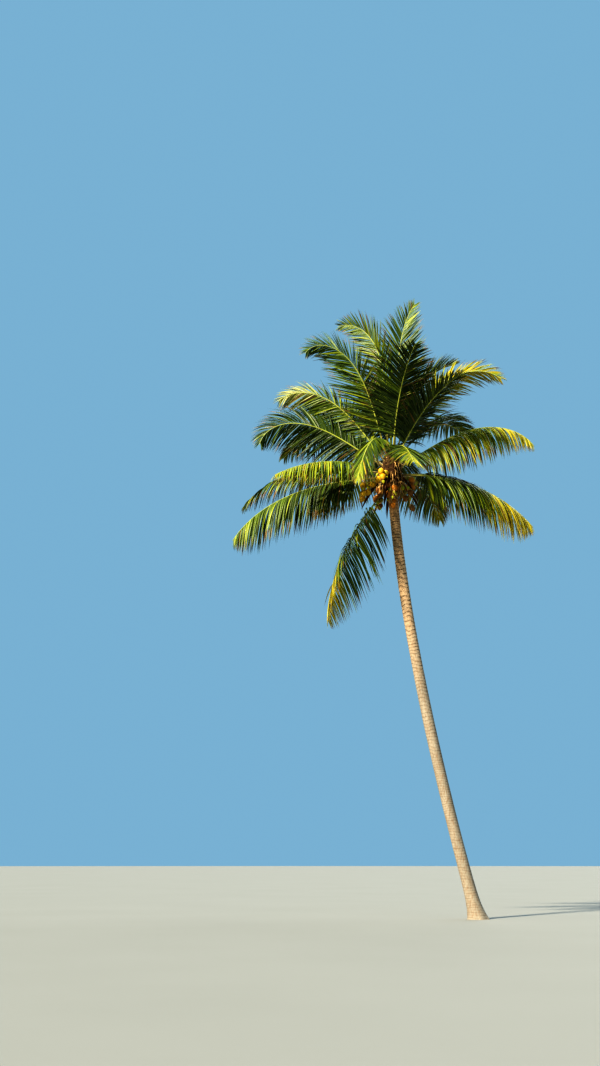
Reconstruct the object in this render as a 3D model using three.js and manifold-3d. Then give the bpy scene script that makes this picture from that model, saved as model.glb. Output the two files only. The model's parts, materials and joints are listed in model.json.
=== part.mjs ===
// Coconut palm, rooted, with a leaning ringed trunk, a crown of arching fronds and hanging fruit.
// Millimetres, +Z up. The origin is the middle of the flat cut under the trunk, at ground level.
import * as THREE from 'three';
import Module from 'manifold-3d';

// Trunk
const TRUNK_HEIGHT = 12750;
const TRUNK_TOP_RADIUS = 150;
const TRUNK_TAPER = 30;
const ROOT_FLARE = 155;
const ROOT_FLARE_HEIGHT = 320;
const TRUNK_SIDES = 20;
const FLARE_RINGS = [0, 60, 130, 220, 330, 460, 620, 820, 1100];
const FIRST_EVEN_RING = 1500;
const RING_SPACING = 650;
const LEAN_HEIGHT = 13400;
const LEAN_REACH = -2200;
const LEAN_POWER = 1.55;

// Leaf sheaths round the heart of the crown: heights above ground and radii
const SHEATH_HEIGHTS = [12750.3, 12900, 13100, 13350, 13600, 13850, 14050, 14200];
const SHEATH_RADII = [152, 205, 275, 300, 270, 210, 150, 85];
const SHEATH_TOP = 14260;
const SHEATH_SIDES = 16;
const FIT_GAP = 0.3;

// Fronds
const FOOT_LOW = 13300;
const FOOT_PER_DEGREE = 8;
const FOOT_INSET = 55;
const FOOT_SPREAD = 55;
const PETIOLE_SHARE = 0.17;
const PETIOLE_STATIONS = [0, 0.04, 0.08, 0.125];
const BARE_TIP_SHARE = 0.02;
const RIB_TIP_HALF_WIDTH = 7;
const RIB_TIP_HALF_HEIGHT = 6;
const RIB_WIDENING = 22;
const RIB_DEEPENING = 15;
const PETIOLE_DEEPENING = 8;
const LEAFLETS_A_SIDE = 14;
const LEAFLET_WIDTH_SHARE = 0.8;
const LEAFLET_LONGEST = 1550;
const LEAFLET_PER_DEGREE = 3;
const LONGEST_LEAFLET_AT = 0.35;
const FIRST_LEAFLET_LOSS = 0.2;
const LAST_LEAFLET_LOSS = 0.8;
const FIRST_LEAFLET_ANGLE = 64;
const LEAFLET_ANGLE_LOSS = 34;
const HANG_PULL = 2.2;
const HANG_POWER = 1.2;
const SHORTENINGS = [1, 0.85, 0.7, 0.5];
const ROLL_FROM = 0.02;
const ROLL_OVER = 0.2;
const SPLIT_ABOVE_DROOP = 45;
const SPLIT_AFTER = 8;
const RIB_STEPS = 100;
const MIDDLE_WIDTH_SHARE = 0.9;
const LEAFLET_SLIMNESS = 90;
const PLAIN_BELOW_LENGTH = 700;
const LEAFLET_STEPS = 8;
const PROBE_START = 0.08;
const CLEARANCE = 4;
const LAST_BROAD_SIDE = 3;

// One frond a row. Heading: degrees round the heart from +X towards +Y. Rise: degrees above level at
// the foot. Droop: degrees lost by the end. Bend: how late the droop comes. Length in mm. Roll:
// degrees that the blade turns about its rib. Lift: degrees that the leaflets rise out of the blade.
// Hang: how far they bend under their weight. Spread: how wide they stand. Fade: how late they
// shorten. Tint: one of TINTS.
const FROND_COLUMNS = [
  'heading', 'rise', 'droop', 'bend', 'length', 'roll', 'lift', 'hang', 'spread', 'fade', 'tint',
];
const FRONDS = [
  [195, 75, 142, 3.9, 5200, -100, 20, 0.05, 1, 1.7, 'green'],
  [152, 89, 98, 3.8, 5700, 115, 20, 0.05, 1, 1.7, 'lime'],
  [20, 87, 32, 4, 5600, -66, 25, 0.03, 1, 1.7, 'deep'],
  [-75, 76, 60, 1.4, 3900, 10, 10, 0.1, 1.2, 1.7, 'deep'],
  [-10, 66, 115, 2.6, 5000, 80, 50, 0.1, 1, 1.7, 'gold'],
  [0, 34, 92, 2.6, 4900, -15, -25, 1.9, 1, 1.7, 'lime'],
  [10, 5, 55, 1.3, 4800, 10, -44, 1.5, 0.9, 3, 'green'],
  [200, -50, 38, 1.5, 5000, -50, -35, 0.4, 1.25, 1.7, 'deep'],
  [189, -7, 52, 1.8, 5500, 0, -42, 1.5, 1, 3.2, 'green'],
  [217, 8, 40, 1, 4500, 0, -12, 0.9, 1, 1.7, 'lime'],
  [183, 35, 115, 3.2, 4700, -90, 25, 0.3, 1, 1.7, 'deep'],
  [178, 56, 105, 3, 4600, -105, 30, 0.15, 1, 1.7, 'gold'],
  [251, 75, 136, 0.34, 4700, 0, -30, 0.2, 0.5, 1.7, 'gold'],
  [-82, 66, 112, 0.3, 3200, 10, -15, 0.2, 1, 1.7, 'lime'],
  [45, 52, 90, 2, 5000, 10, 18, 0.5, 1, 1.7, 'green'],
  [25, 75, 60, 2.2, 4600, 0, 26, 0.1, 1, 1.7, 'green'],
  [105, 72, 80, 2.4, 5200, 0, 25, 0.15, 1, 1.7, 'green'],
  [125, 60, 90, 2.2, 5200, 15, 21, 0.35, 1, 1.7, 'green'],
  [138, 42, 80, 2, 5100, -15, 15, 0.65, 1, 1.7, 'deep'],
  [85, 32, 70, 1.8, 5100, 0, 11, 0.85, 1, 1.7, 'green'],
  [160, 15, 65, 1.8, 5200, 10, 5, 1.1, 1, 1.7, 'green'],
  [32, 12, 55, 1.6, 5000, -10, 4, 1.2, 1, 1.7, 'deep'],
  [117, 20, 58, 1.6, 5000, 0, 7, 1, 1, 1.7, 'lime'],
  [66, 16, 52, 1.6, 5000, 0, 6, 1.1, 1, 1.7, 'green'],
  [-42, 57, 44, 1.6, 3600, -10, 15, 0.2, 1.1, 1.7, 'deep'],
].map((row) => Object.fromEntries(row.map((value, i) => [FROND_COLUMNS[i], value])));

// Fruit bunches: heading, height of the stalk's foot, reach and fall of the stalk, nuts and tint
const BUNCHES = [
  { heading: 206, foot: 13060, reach: 1120, fall: 600, nuts: 6, tint: 'yellow_nut' },
  { heading: 234, foot: 13260, reach: 740, fall: 200, nuts: 5, tint: 'yellow_nut' },
  { heading: 262, foot: 13000, reach: 500, fall: 800, nuts: 5, tint: 'orange_nut' },
  { heading: -44, foot: 13040, reach: 800, fall: 900, nuts: 4, tint: 'brown_nut' },
  { heading: -16, foot: 13200, reach: 800, fall: 240, nuts: 3, tint: 'orange_nut' },
  { heading: 84, foot: 13060, reach: 620, fall: 560, nuts: 5, tint: 'yellow_nut' },
  { heading: 146, foot: 13060, reach: 600, fall: 620, nuts: 4, tint: 'brown_nut' },
];
const STALK_INSET = 90;
const STALK_ARCH = 60;
const NUT_RADIUS = 98;
const NUT_LENGTH = 250;
const FIRST_NUT_AT = 0.98;
const NUTS_OVER = 0.62;
const NUT_TURN = 137.5;
const BUNCH_TURN = 60;
const SPATHE_LENGTH = 1100;
const SPATHE_RADIUS = 55;
const SPATHE_AT = 0.2;

// Round bodies: shares of the length from end to end, radius at each share, and sides
const STALK = { stops: [0, 0.15, 0.35, 0.6, 0.85, 1], radii: [0, 30, 28, 25, 20, 0], sides: 6 };
const NUT = {
  stops: [-0.5, -0.42, -0.18, 0.12, 0.38, 0.5],
  girths: [0, 0.6, 0.98, 0.96, 0.52, 0],
  sides: 8,
};
const SPATHE = { stops: [0, 0.2, 0.4, 0.6, 0.8, 1], girths: [0, 0.6, 1, 0.85, 0.5, 0], sides: 6 };
const SPEAR = { stops: [0, 0.1, 0.3, 0.6, 0.85, 1], girths: [0, 0.9, 1, 0.8, 0.5, 0], sides: 8 };
const SPEAR_LENGTH = 3600;
const SPEAR_RADIUS = 34;
const SPEAR_SINK = 80;

const TINTS = {
  bark: [0x9c7d5b, 0.9],
  fibre: [0x5e4225, 0.95],
  deep: [0x3c5417, 0.5],
  green: [0x56721c, 0.5],
  lime: [0x82921f, 0.5],
  gold: [0xa79a26, 0.5],
  yellow_nut: [0xc9981c, 0.45],
  orange_nut: [0xa8631b, 0.5],
  brown_nut: [0x6b4320, 0.6],
};

const wasm = await Module();
wasm.setup();

const radians = THREE.MathUtils.degToRad;
const clamp = THREE.MathUtils.clamp;
const HEART = new THREE.Vector3(LEAN_REACH, 0, 0);
const DOWN = new THREE.Vector3(0, 0, -1);

// A soup of points and triangles that closes on itself
class Shell {
  constructor() {
    this.points = [];
    this.triangles = [];
  }

  add(point) {
    this.points.push(point);
    return this.points.length - 1;
  }

  ring(points) {
    return points.map((point) => this.add(point));
  }

  quad(a, b, c, d) {
    this.triangles.push([a, b, c], [a, c, d]);
  }

  // The wall between two rings of the same count. The turned side is split along its other diagonal.
  wall(from, to, turned = -1) {
    const count = from.length;
    for (let i = 0; i < count; i += 1) {
      const next = (i + 1) % count;
      if (i === turned) {
        this.quad(from[next], to[next], to[i], from[i]);
      } else {
        this.quad(from[i], from[next], to[next], to[i]);
      }
    }
  }

  // The cone from a ring to one point
  cone(ring, apex) {
    const count = ring.length;
    for (let i = 0; i < count; i += 1) {
      this.triangles.push([ring[i], ring[(i + 1) % count], apex]);
    }
  }

  // A flat end over a ring
  cap(ring) {
    for (let i = 1; i < ring.length - 1; i += 1) {
      this.triangles.push([ring[0], ring[i], ring[i + 1]]);
    }
  }

  volume() {
    let sum = 0;
    const cross = new THREE.Vector3();
    for (const [a, b, c] of this.triangles) {
      cross.crossVectors(this.points[b], this.points[c]);
      sum += this.points[a].dot(cross) / 6;
    }
    return sum;
  }

  // Faces outward, as a solid for joining and cutting
  solid() {
    const inward = this.volume() < 0;
    const order = inward ? this.triangles.map(([a, b, c]) => [a, c, b]) : this.triangles;
    const vertProperties = new Float32Array(this.points.flatMap((point) => point.toArray()));
    const triVerts = new Uint32Array(order.flat());
    return new wasm.Manifold(new wasm.Mesh({ numProp: 3, vertProperties, triVerts }));
  }
}

function solidToMesh(name, solid, tint) {
  const { vertProperties, triVerts } = solid.getMesh();
  const geometry = new THREE.BufferGeometry();
  geometry.setAttribute('position', new THREE.BufferAttribute(new Float32Array(vertProperties), 3));
  geometry.setIndex(new THREE.BufferAttribute(new Uint32Array(triVerts), 1));
  geometry.computeVertexNormals();
  const [color, roughness] = TINTS[tint];
  const material = new THREE.MeshStandardMaterial({ color, roughness, metalness: 0 });
  material.name = tint;
  const mesh = new THREE.Mesh(geometry, material);
  mesh.name = name;
  return mesh;
}

// A level circle of points
function levelCircle(centre, radius, sides) {
  return Array.from({ length: sides }, (_, i) => {
    const turn = (2 * Math.PI * i) / sides;
    return new THREE.Vector3(
      centre.x + radius * Math.cos(turn),
      centre.y + radius * Math.sin(turn),
      centre.z,
    );
  });
}

// A round body along a line of points, with pointed ends
function spindle(line, radii, sides) {
  const shell = new Shell();
  const rings = [];
  for (let i = 1; i < line.length - 1; i += 1) {
    const along = line[i + 1].clone().sub(line[i - 1]).normalize();
    const turn = new THREE.Quaternion().setFromUnitVectors(new THREE.Vector3(0, 0, 1), along);
    const circle = levelCircle(new THREE.Vector3(), radii[i], sides);
    rings.push(shell.ring(circle.map((point) => point.applyQuaternion(turn).add(line[i]))));
  }
  for (let i = 0; i < rings.length - 1; i += 1) {
    shell.wall(rings[i], rings[i + 1]);
  }
  const first = shell.add(line[0].clone());
  const last = shell.add(line[line.length - 1].clone());
  shell.cone([...rings[0]].reverse(), first);
  shell.cone(rings[rings.length - 1], last);
  return shell.solid();
}

// Middle of the trunk at a height: the lean is strongest at the ground and ends upright
function trunkCentre(z) {
  const left = 1 - z / LEAN_HEIGHT;
  return new THREE.Vector3(LEAN_REACH * (1 - left ** LEAN_POWER), 0, z);
}

function trunkRadius(z) {
  const taper = TRUNK_TAPER * (1 - z / TRUNK_HEIGHT);
  return TRUNK_TOP_RADIUS + taper + ROOT_FLARE * Math.exp(-z / ROOT_FLARE_HEIGHT);
}

function trunkSolid() {
  const shell = new Shell();
  const heights = [...FLARE_RINGS];
  for (let z = FIRST_EVEN_RING; z < TRUNK_HEIGHT - RING_SPACING / 2; z += RING_SPACING) {
    heights.push(z);
  }
  heights.push(TRUNK_HEIGHT);
  const rings = heights.map((z) => shell.ring(levelCircle(trunkCentre(z), trunkRadius(z), TRUNK_SIDES)));
  for (let i = 0; i < rings.length - 1; i += 1) {
    shell.wall(rings[i], rings[i + 1]);
  }
  shell.cap([...rings[0]].reverse());
  shell.cap(rings[rings.length - 1]);
  return shell.solid();
}

// The sheaths as one turned body, grown outward by a margin
function sheathSolid(margin) {
  const shell = new Shell();
  const rings = SHEATH_HEIGHTS.map((z, i) => {
    const centre = HEART.clone().setZ(i === 0 ? z - margin : z);
    centre.x = i === 0 ? trunkCentre(TRUNK_HEIGHT).x : centre.x;
    return shell.ring(levelCircle(centre, SHEATH_RADII[i] + margin, SHEATH_SIDES));
  });
  for (let i = 0; i < rings.length - 1; i += 1) {
    shell.wall(rings[i], rings[i + 1]);
  }
  shell.cap([...rings[0]].reverse());
  shell.cone(rings[rings.length - 1], shell.add(HEART.clone().setZ(SHEATH_TOP + margin)));
  return shell.solid();
}

function sheathRadius(z) {
  const above = SHEATH_HEIGHTS.findIndex((height) => height > z);
  const share = (z - SHEATH_HEIGHTS[above - 1]) / (SHEATH_HEIGHTS[above] - SHEATH_HEIGHTS[above - 1]);
  return THREE.MathUtils.lerp(SHEATH_RADII[above - 1], SHEATH_RADII[above], share);
}

// Rib of a frond: at(u) gives its point, its direction, the blade's side and the blade's face
function ribOf(frond) {
  const heading = radians(frond.heading);
  const outward = new THREE.Vector3(Math.cos(heading), Math.sin(heading), 0);
  const levelSide = new THREE.Vector3(Math.sin(heading), -Math.cos(heading), 0);
  const direction = (u) => {
    const elevation = radians(frond.rise - frond.droop * u ** frond.bend);
    const along = outward.clone().multiplyScalar(Math.cos(elevation));
    return along.setZ(Math.sin(elevation));
  };
  const foot = FOOT_LOW + FOOT_PER_DEGREE * frond.rise;
  const start = outward.clone().multiplyScalar(sheathRadius(foot) - FOOT_INSET).add(HEART);
  const line = [start.setZ(foot)];
  for (let i = 0; i < RIB_STEPS; i += 1) {
    const step = direction((i + 0.5) / RIB_STEPS).multiplyScalar(frond.length / RIB_STEPS);
    line.push(line[i].clone().add(step));
  }
  const at = (u) => {
    const place = clamp(u, 0, 1) * RIB_STEPS;
    const index = Math.min(Math.floor(place), RIB_STEPS - 1);
    const point = line[index].clone().lerp(line[index + 1], place - index);
    const along = direction(u);
    const levelFace = levelSide.clone().cross(along);
    const roll = radians(frond.roll) * clamp((u - ROLL_FROM) / ROLL_OVER, 0, 1);
    const side = levelSide.clone().multiplyScalar(Math.cos(roll));
    side.addScaledVector(levelFace, Math.sin(roll));
    const face = side.clone().cross(along);
    return { point, along, side, face };
  };
  return at;
}

// Half width and half height of the rib: an old frond clasps the heart with a broad foot
function ribHalfWidth(frond, u) {
  const foot = FOOT_SPREAD * clamp(1 - frond.rise / 100, 0, 1);
  const petiole = Math.max(0, 1 - u / PETIOLE_SHARE);
  return RIB_TIP_HALF_WIDTH + RIB_WIDENING * (1 - u) + foot * petiole ** 3;
}

function ribHalfHeight(u) {
  const petiole = Math.max(0, 1 - u / PETIOLE_SHARE);
  return RIB_TIP_HALF_HEIGHT + RIB_DEEPENING * (1 - u) + PETIOLE_DEEPENING * petiole ** 2;
}

// Four corners round the rib: right and left above, left and right below
function ribRing(frond, frame, u) {
  const width = ribHalfWidth(frond, u);
  const height = ribHalfHeight(u);
  const corners = [[1, 1], [-1, 1], [-1, -1], [1, -1]];
  return corners.map(([across, up]) => frame.point.clone()
    .addScaledVector(frame.side, across * width)
    .addScaledVector(frame.face, up * height));
}

// Length of a leaflet as a share of the longest one, w running from the first to the last
function leafletShare(frond, w) {
  if (w < LONGEST_LEAFLET_AT) {
    return 1 - FIRST_LEAFLET_LOSS * (1 - w / LONGEST_LEAFLET_AT) ** 2;
  }
  const past = (w - LONGEST_LEAFLET_AT) / (1 - LONGEST_LEAFLET_AT);
  return 1 - LAST_LEAFLET_LOSS * past ** frond.fade;
}

// Angle between a leaflet and the rib
function leafletAngle(frond, w) {
  return radians(frond.spread * (FIRST_LEAFLET_ANGLE - LEAFLET_ANGLE_LOSS * w));
}

// Middle line of a leaflet: it leaves the rib at an angle that closes towards the frond's end,
// lifts out of the blade and bends down under its weight
function leafletLine(frond, at, u, w, sign, shorten) {
  const frame = at(u);
  const angle = leafletAngle(frond, w);
  const lift = radians(frond.lift);
  const longest = LEAFLET_LONGEST - LEAFLET_PER_DEGREE * frond.rise;
  const length = longest * leafletShare(frond, w) * shorten;
  const leave = frame.along.clone().multiplyScalar(Math.cos(angle));
  leave.addScaledVector(frame.side, sign * Math.sin(angle) * Math.cos(lift));
  leave.addScaledVector(frame.face, Math.sin(angle) * Math.sin(lift));
  const steps = LEAFLET_STEPS;
  const line = [frame.point.clone().addScaledVector(frame.side, sign * ribHalfWidth(frond, u))];
  const directions = [];
  for (let i = 0; i < steps; i += 1) {
    const pull = HANG_PULL * frond.hang * ((i + 0.5) / steps) ** HANG_POWER;
    const direction = leave.clone().addScaledVector(DOWN, pull).normalize();
    directions.push(direction);
    line.push(line[i].clone().addScaledVector(direction, length / steps));
  }
  return { line, leave, directions, frame, length };
}

// Four corners across a leaflet: near upper, far upper, far lower and near lower. The width starts
// in line with the rib and turns only as the leaflet bends.
function leafletRing(leaflet, index, sign, halfWidth, halfThickness) {
  const { leave, directions, frame } = leaflet;
  const direction = directions[Math.min(index, directions.length - 1)];
  const across = frame.along.clone().addScaledVector(leave, -frame.along.dot(leave)).normalize();
  across.applyQuaternion(new THREE.Quaternion().setFromUnitVectors(leave, direction));
  const face = direction.clone().cross(across).multiplyScalar(sign);
  return [[-1, 1], [1, 1], [1, -1], [-1, -1]].map(([a, b]) => leaflet.line[index].clone()
    .addScaledVector(across, a * halfWidth)
    .addScaledVector(face, b * halfThickness));
}

// The leaflet's space with some clearance, but without its root
function leafletProbe(leaflet, sign, root) {
  const halfWidth = leaflet.rootWidth * MIDDLE_WIDTH_SHARE / 2 + CLEARANCE;
  const halfThickness = leaflet.length / LEAFLET_SLIMNESS / 2 + CLEARANCE;
  const middle = leafletRing(leaflet, LEAFLET_STEPS / 2, sign, halfWidth, halfThickness);
  const centre = leaflet.line[LEAFLET_STEPS / 2];
  const start = root.map((corner) => corner.clone().lerp(centre, PROBE_START));
  const tip = leafletRing(leaflet, LEAFLET_STEPS, sign, CLEARANCE, CLEARANCE);
  return wasm.Manifold.hull([...start, ...middle, ...tip].map((point) => point.toArray()));
}

function boxesMeet(a, b) {
  return [0, 1, 2].every((k) => a.min[k] < b.max[k] && b.min[k] < a.max[k]);
}

// Remembers the solids already placed and tells whether a new one would touch any
class Occupied {
  constructor() {
    this.entries = [];
  }

  add(solid, owner) {
    this.entries.push({ solid, owner, box: solid.boundingBox() });
  }

  blocks(solid, skipOwner) {
    const box = solid.boundingBox();
    return this.entries.some((entry) => entry.owner !== skipOwner
      && boxesMeet(entry.box, box)
      && !entry.solid.intersect(solid).isEmpty());
  }
}

// Where the rib has its cross-sections: along the petiole, then at both edges of each leaflet
function ribStations() {
  const stations = PETIOLE_STATIONS.map((u) => ({ u, slot: -1 }));
  const pitch = (1 - PETIOLE_SHARE - BARE_TIP_SHARE) / LEAFLETS_A_SIDE;
  for (let slot = 0; slot < LEAFLETS_A_SIDE; slot += 1) {
    const u = PETIOLE_SHARE + slot * pitch;
    stations.push({ u, slot }, { u: u + pitch * LEAFLET_WIDTH_SHARE, slot: -1 });
  }
  return stations;
}

const STATIONS = ribStations();

// Ribs from one station to another; leaflets maps a slot and a side to its line
function frondSolid(frond, at, from, to, leaflets) {
  const shell = new Shell();
  const rings = [];
  for (let j = from; j <= to; j += 1) {
    const frame = at(STATIONS[j].u);
    const shift = j === to && to < STATIONS.length - 1 ? -FIT_GAP : 0;
    frame.point.addScaledVector(frame.along, shift);
    rings.push(shell.ring(ribRing(frond, frame, STATIONS[j].u)));
  }
  for (let j = 0; j < rings.length - 1; j += 1) {
    for (let i = 0; i < 4; i += 1) {
      const next = (i + 1) % 4;
      const sign = i === 3 ? 1 : -1;
      const leaflet = i === 1 || i === 3 ? leaflets.get(`${STATIONS[from + j].slot}:${sign}`) : null;
      const root = [rings[j][i], rings[j][next], rings[j + 1][next], rings[j + 1][i]];
      if (leaflet) {
        addLeaflet(shell, root, leaflet, sign);
      } else {
        shell.quad(...root);
      }
    }
  }
  shell.cap([...rings[0]].reverse());
  const last = rings[rings.length - 1];
  if (to === STATIONS.length - 1) {
    shell.cone(last, shell.add(at(1).point));
  } else {
    shell.cap(last);
  }
  return shell.solid();
}

// A leaflet in place of one side face of the rib: about as wide at its middle and pointed at its
// end, or a plain spike where it is short. The rib's face runs near upper, near lower, far lower,
// far upper on the left side, and near lower, near upper, far upper, far lower on the right. The
// two broad sides are split along like diagonals, so that they stay apart where the leaflet twists.
function addLeaflet(shell, root, leaflet, sign) {
  let ring = root;
  if (leaflet.length > PLAIN_BELOW_LENGTH) {
    const halfWidth = leaflet.rootWidth * MIDDLE_WIDTH_SHARE / 2;
    const halfThickness = leaflet.length / LEAFLET_SLIMNESS / 2;
    const corners = leafletRing(leaflet, LEAFLET_STEPS / 2, sign, halfWidth, halfThickness);
    const [nearUp, farUp, farLow, nearLow] = shell.ring(corners);
    ring = sign > 0 ? [nearLow, nearUp, farUp, farLow] : [nearUp, nearLow, farLow, farUp];
    shell.wall(root, ring, LAST_BROAD_SIDE);
  }
  shell.cone(ring, shell.add(leaflet.line[leaflet.line.length - 1].clone()));
}

// Every leaflet that finds its space free, tried shorter and shorter
function growLeaflets(frond, at, occupied, index) {
  const leaflets = new Map();
  STATIONS.forEach(({ u, slot }, j) => {
    if (slot < 0) {
      return;
    }
    const end = STATIONS[j + 1].u;
    const w = (slot + 0.5) / LEAFLETS_A_SIDE;
    const near = ribRing(frond, at(u), u);
    const far = ribRing(frond, at(end), end);
    const rootWidth = (end - u) * frond.length * Math.sin(leafletAngle(frond, w));
    for (const sign of [-1, 1]) {
      const [upper, lower] = sign > 0 ? [0, 3] : [1, 2];
      const root = [near[upper], near[lower], far[upper], far[lower]];
      for (const shorten of SHORTENINGS) {
        const middleLine = leafletLine(frond, at, (u + end) / 2, w, sign, shorten);
        const leaflet = { ...middleLine, rootWidth };
        const probe = leafletProbe(leaflet, sign, root);
        if (!occupied.blocks(probe, `rib_${index}`)) {
          occupied.add(probe, `leaflets_${index}`);
          leaflets.set(`${slot}:${sign}`, leaflet);
          break;
        }
      }
    }
  });
  return leaflets;
}

// Stalk that leaves the heart, arches out and hangs, with nuts to both sides and a dry spathe
function bunchSolid(bunch, index, occupied) {
  const heading = radians(bunch.heading);
  const outward = new THREE.Vector3(Math.cos(heading), Math.sin(heading), 0);
  const side = new THREE.Vector3(Math.sin(heading), -Math.cos(heading), 0);
  const heartRadius = SHEATH_RADII[2];
  const foot = outward.clone().multiplyScalar(heartRadius - STALK_INSET).add(HEART).setZ(bunch.foot);
  const place = (share) => foot.clone()
    .addScaledVector(outward, (bunch.reach - heartRadius) * Math.sin((share * Math.PI) / 2))
    .addScaledVector(DOWN, bunch.fall * share ** 2 - STALK_ARCH * Math.sin(share * Math.PI));
  let solid = spindle(STALK.stops.map(place), STALK.radii, STALK.sides);
  for (let k = 0; k < bunch.nuts; k += 1) {
    const around = radians(NUT_TURN * k + BUNCH_TURN * index);
    const middle = place(FIRST_NUT_AT - NUTS_OVER * (k / bunch.nuts));
    middle.addScaledVector(side, Math.cos(around) * NUT_RADIUS * 0.95);
    middle.addScaledVector(outward, Math.sin(around) * NUT_RADIUS * 0.7);
    middle.addScaledVector(DOWN, NUT_LENGTH * 0.2);
    const lean = outward.clone().multiplyScalar(0.35).addScaledVector(side, 0.4 * Math.cos(around));
    const axis = DOWN.clone().add(lean).normalize();
    const nutLine = NUT.stops.map((stop) => middle.clone().addScaledVector(axis, stop * NUT_LENGTH));
    const nut = spindle(nutLine, NUT.girths.map((girth) => girth * NUT_RADIUS), NUT.sides);
    if (!occupied.blocks(nut, null)) {
      solid = solid.add(nut);
    }
  }
  const spatheSide = index % 2 === 0 ? 1 : -1;
  const spatheLine = SPATHE.stops.map((share) => place(SPATHE_AT)
    .addScaledVector(side, spatheSide * SPATHE_LENGTH * 0.18 * Math.sin((share * Math.PI) / 2))
    .addScaledVector(outward, SPATHE_LENGTH * 0.5 * share)
    .addScaledVector(DOWN, SPATHE_LENGTH * 0.85 * share ** 1.3));
  const spatheRadii = SPATHE.girths.map((girth) => girth * SPATHE_RADIUS);
  return solid.add(spindle(spatheLine, spatheRadii, SPATHE.sides));
}

function build() {
  const group = new THREE.Group();
  const occupied = new Occupied();
  const trunk = trunkSolid();
  const sheaths = sheathSolid(0);
  const sheathCutter = sheathSolid(FIT_GAP);
  occupied.add(trunk, 'trunk');
  occupied.add(sheaths, 'sheaths');
  group.add(solidToMesh('trunk', trunk, 'bark'));
  group.add(solidToMesh('leaf_sheaths', sheaths, 'fibre'));

  const spearLine = SPEAR.stops.map(
    (share) => HEART.clone().setZ(SHEATH_TOP - SPEAR_SINK + SPEAR_LENGTH * share),
  );
  const spearRadii = SPEAR.girths.map((girth) => girth * SPEAR_RADIUS);
  const spear = spindle(spearLine, spearRadii, SPEAR.sides).subtract(sheathCutter);
  occupied.add(spear, 'spear');
  group.add(solidToMesh('spear_leaf', spear, 'lime'));

  const ribs = FRONDS.map((frond) => ribOf(frond));
  const none = new Map();
  ribs.forEach((at, index) => {
    const bare = frondSolid(FRONDS[index], at, 0, STATIONS.length - 1, none).subtract(sheathCutter);
    occupied.add(bare, `rib_${index}`);
  });

  BUNCHES.forEach((bunch, index) => {
    const solid = bunchSolid(bunch, index, occupied).subtract(sheathCutter);
    occupied.add(solid, `bunch_${index}`);
    group.add(solidToMesh(`fruit_bunch_${index + 1}`, solid, bunch.tint));
  });

  FRONDS.forEach((frond, index) => {
    const at = ribs[index];
    const leaflets = growLeaflets(frond, at, occupied, index);
    const name = `frond_${String(index + 1).padStart(2, '0')}`;
    const end = STATIONS.length - 1;
    const split = STATIONS.findIndex((station) => station.slot === SPLIT_AFTER);
    if (frond.droop > SPLIT_ABOVE_DROOP) {
      const inner = frondSolid(frond, at, 0, split, leaflets).subtract(sheathCutter);
      group.add(solidToMesh(`${name}_inner`, inner, frond.tint));
      const outer = frondSolid(frond, at, split, end, leaflets);
      group.add(solidToMesh(`${name}_outer`, outer, frond.tint));
    } else {
      const whole = frondSolid(frond, at, 0, end, leaflets).subtract(sheathCutter);
      group.add(solidToMesh(name, whole, frond.tint));
    }
  });
  return group;
}

export default build();
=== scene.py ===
import json
import math
from collections import defaultdict, namedtuple

import bpy
import numpy as np
from bpy.props import FloatProperty, FloatVectorProperty, IntProperty, PointerProperty
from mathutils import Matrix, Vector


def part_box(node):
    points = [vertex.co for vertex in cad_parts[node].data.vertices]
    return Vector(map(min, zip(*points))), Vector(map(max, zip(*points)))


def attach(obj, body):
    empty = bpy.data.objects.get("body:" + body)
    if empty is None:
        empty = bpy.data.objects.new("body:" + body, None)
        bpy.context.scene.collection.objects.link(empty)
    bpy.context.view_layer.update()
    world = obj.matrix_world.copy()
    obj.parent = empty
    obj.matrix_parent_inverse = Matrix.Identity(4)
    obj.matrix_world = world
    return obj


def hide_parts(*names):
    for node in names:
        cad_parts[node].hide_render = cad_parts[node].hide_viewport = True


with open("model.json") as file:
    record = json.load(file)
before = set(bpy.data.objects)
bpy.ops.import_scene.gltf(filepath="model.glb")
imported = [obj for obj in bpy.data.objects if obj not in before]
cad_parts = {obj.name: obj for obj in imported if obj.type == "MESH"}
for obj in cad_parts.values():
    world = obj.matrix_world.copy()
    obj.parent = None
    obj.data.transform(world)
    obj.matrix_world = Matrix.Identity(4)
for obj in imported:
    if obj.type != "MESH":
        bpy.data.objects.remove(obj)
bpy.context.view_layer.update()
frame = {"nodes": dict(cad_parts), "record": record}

bl_info = {
    "name": "Coconut Palm",
    "version": (1, 0, 0),
    "blender": (4, 5, 0),
    "location": "View3D > Sidebar > Palm",
    "description": "Builds a leaning coconut palm: trunk, heart, fronds, fruit and stage",
    "category": "Add Mesh",
}

UP = np.array([0.0, 0.0, 1.0])
LEVEL = np.array([1.0, 1.0, 0.0])
SHARP_ANGLE = 40.0

# Trunk, metres: the centre line leans by LEAN_REACH and ends upright near LEAN_HEIGHT
LEAN_HEIGHT = 13.4
LEAN_REACH = -2.2
LEAN_POWER = 1.55
TRUNK_TAPER = 0.03
FLARE_HEIGHT = 0.32
TRUNK_ROWS = 1260
TRUNK_SIDES = 64
HEART = np.array([LEAN_REACH, 0.0, 0.0])

# Bark, metres: old up to a height and young after the next stretch; the heights between which its
# colour turns; a scar's width as a share of its ring; and the depths of the relief
OLD_BARK_TOP = 4.5
YOUNG_BARK_OVER = 6.5
BARK_TURNS = (6.5, 12.2)
SCAR_WIDTH = 0.13
RING_DEPTH = 0.002
YOUNG_RING_DEPTH = 0.009
CRACK_DEPTH = 0.006
DENT_DEPTH = 0.005
ROOTLET_HEIGHT = 0.2
ROOTLET_DEPTH = 0.012
LOBE_DEPTH = 0.018
FOOT_DEPTH = 0.02

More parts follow.
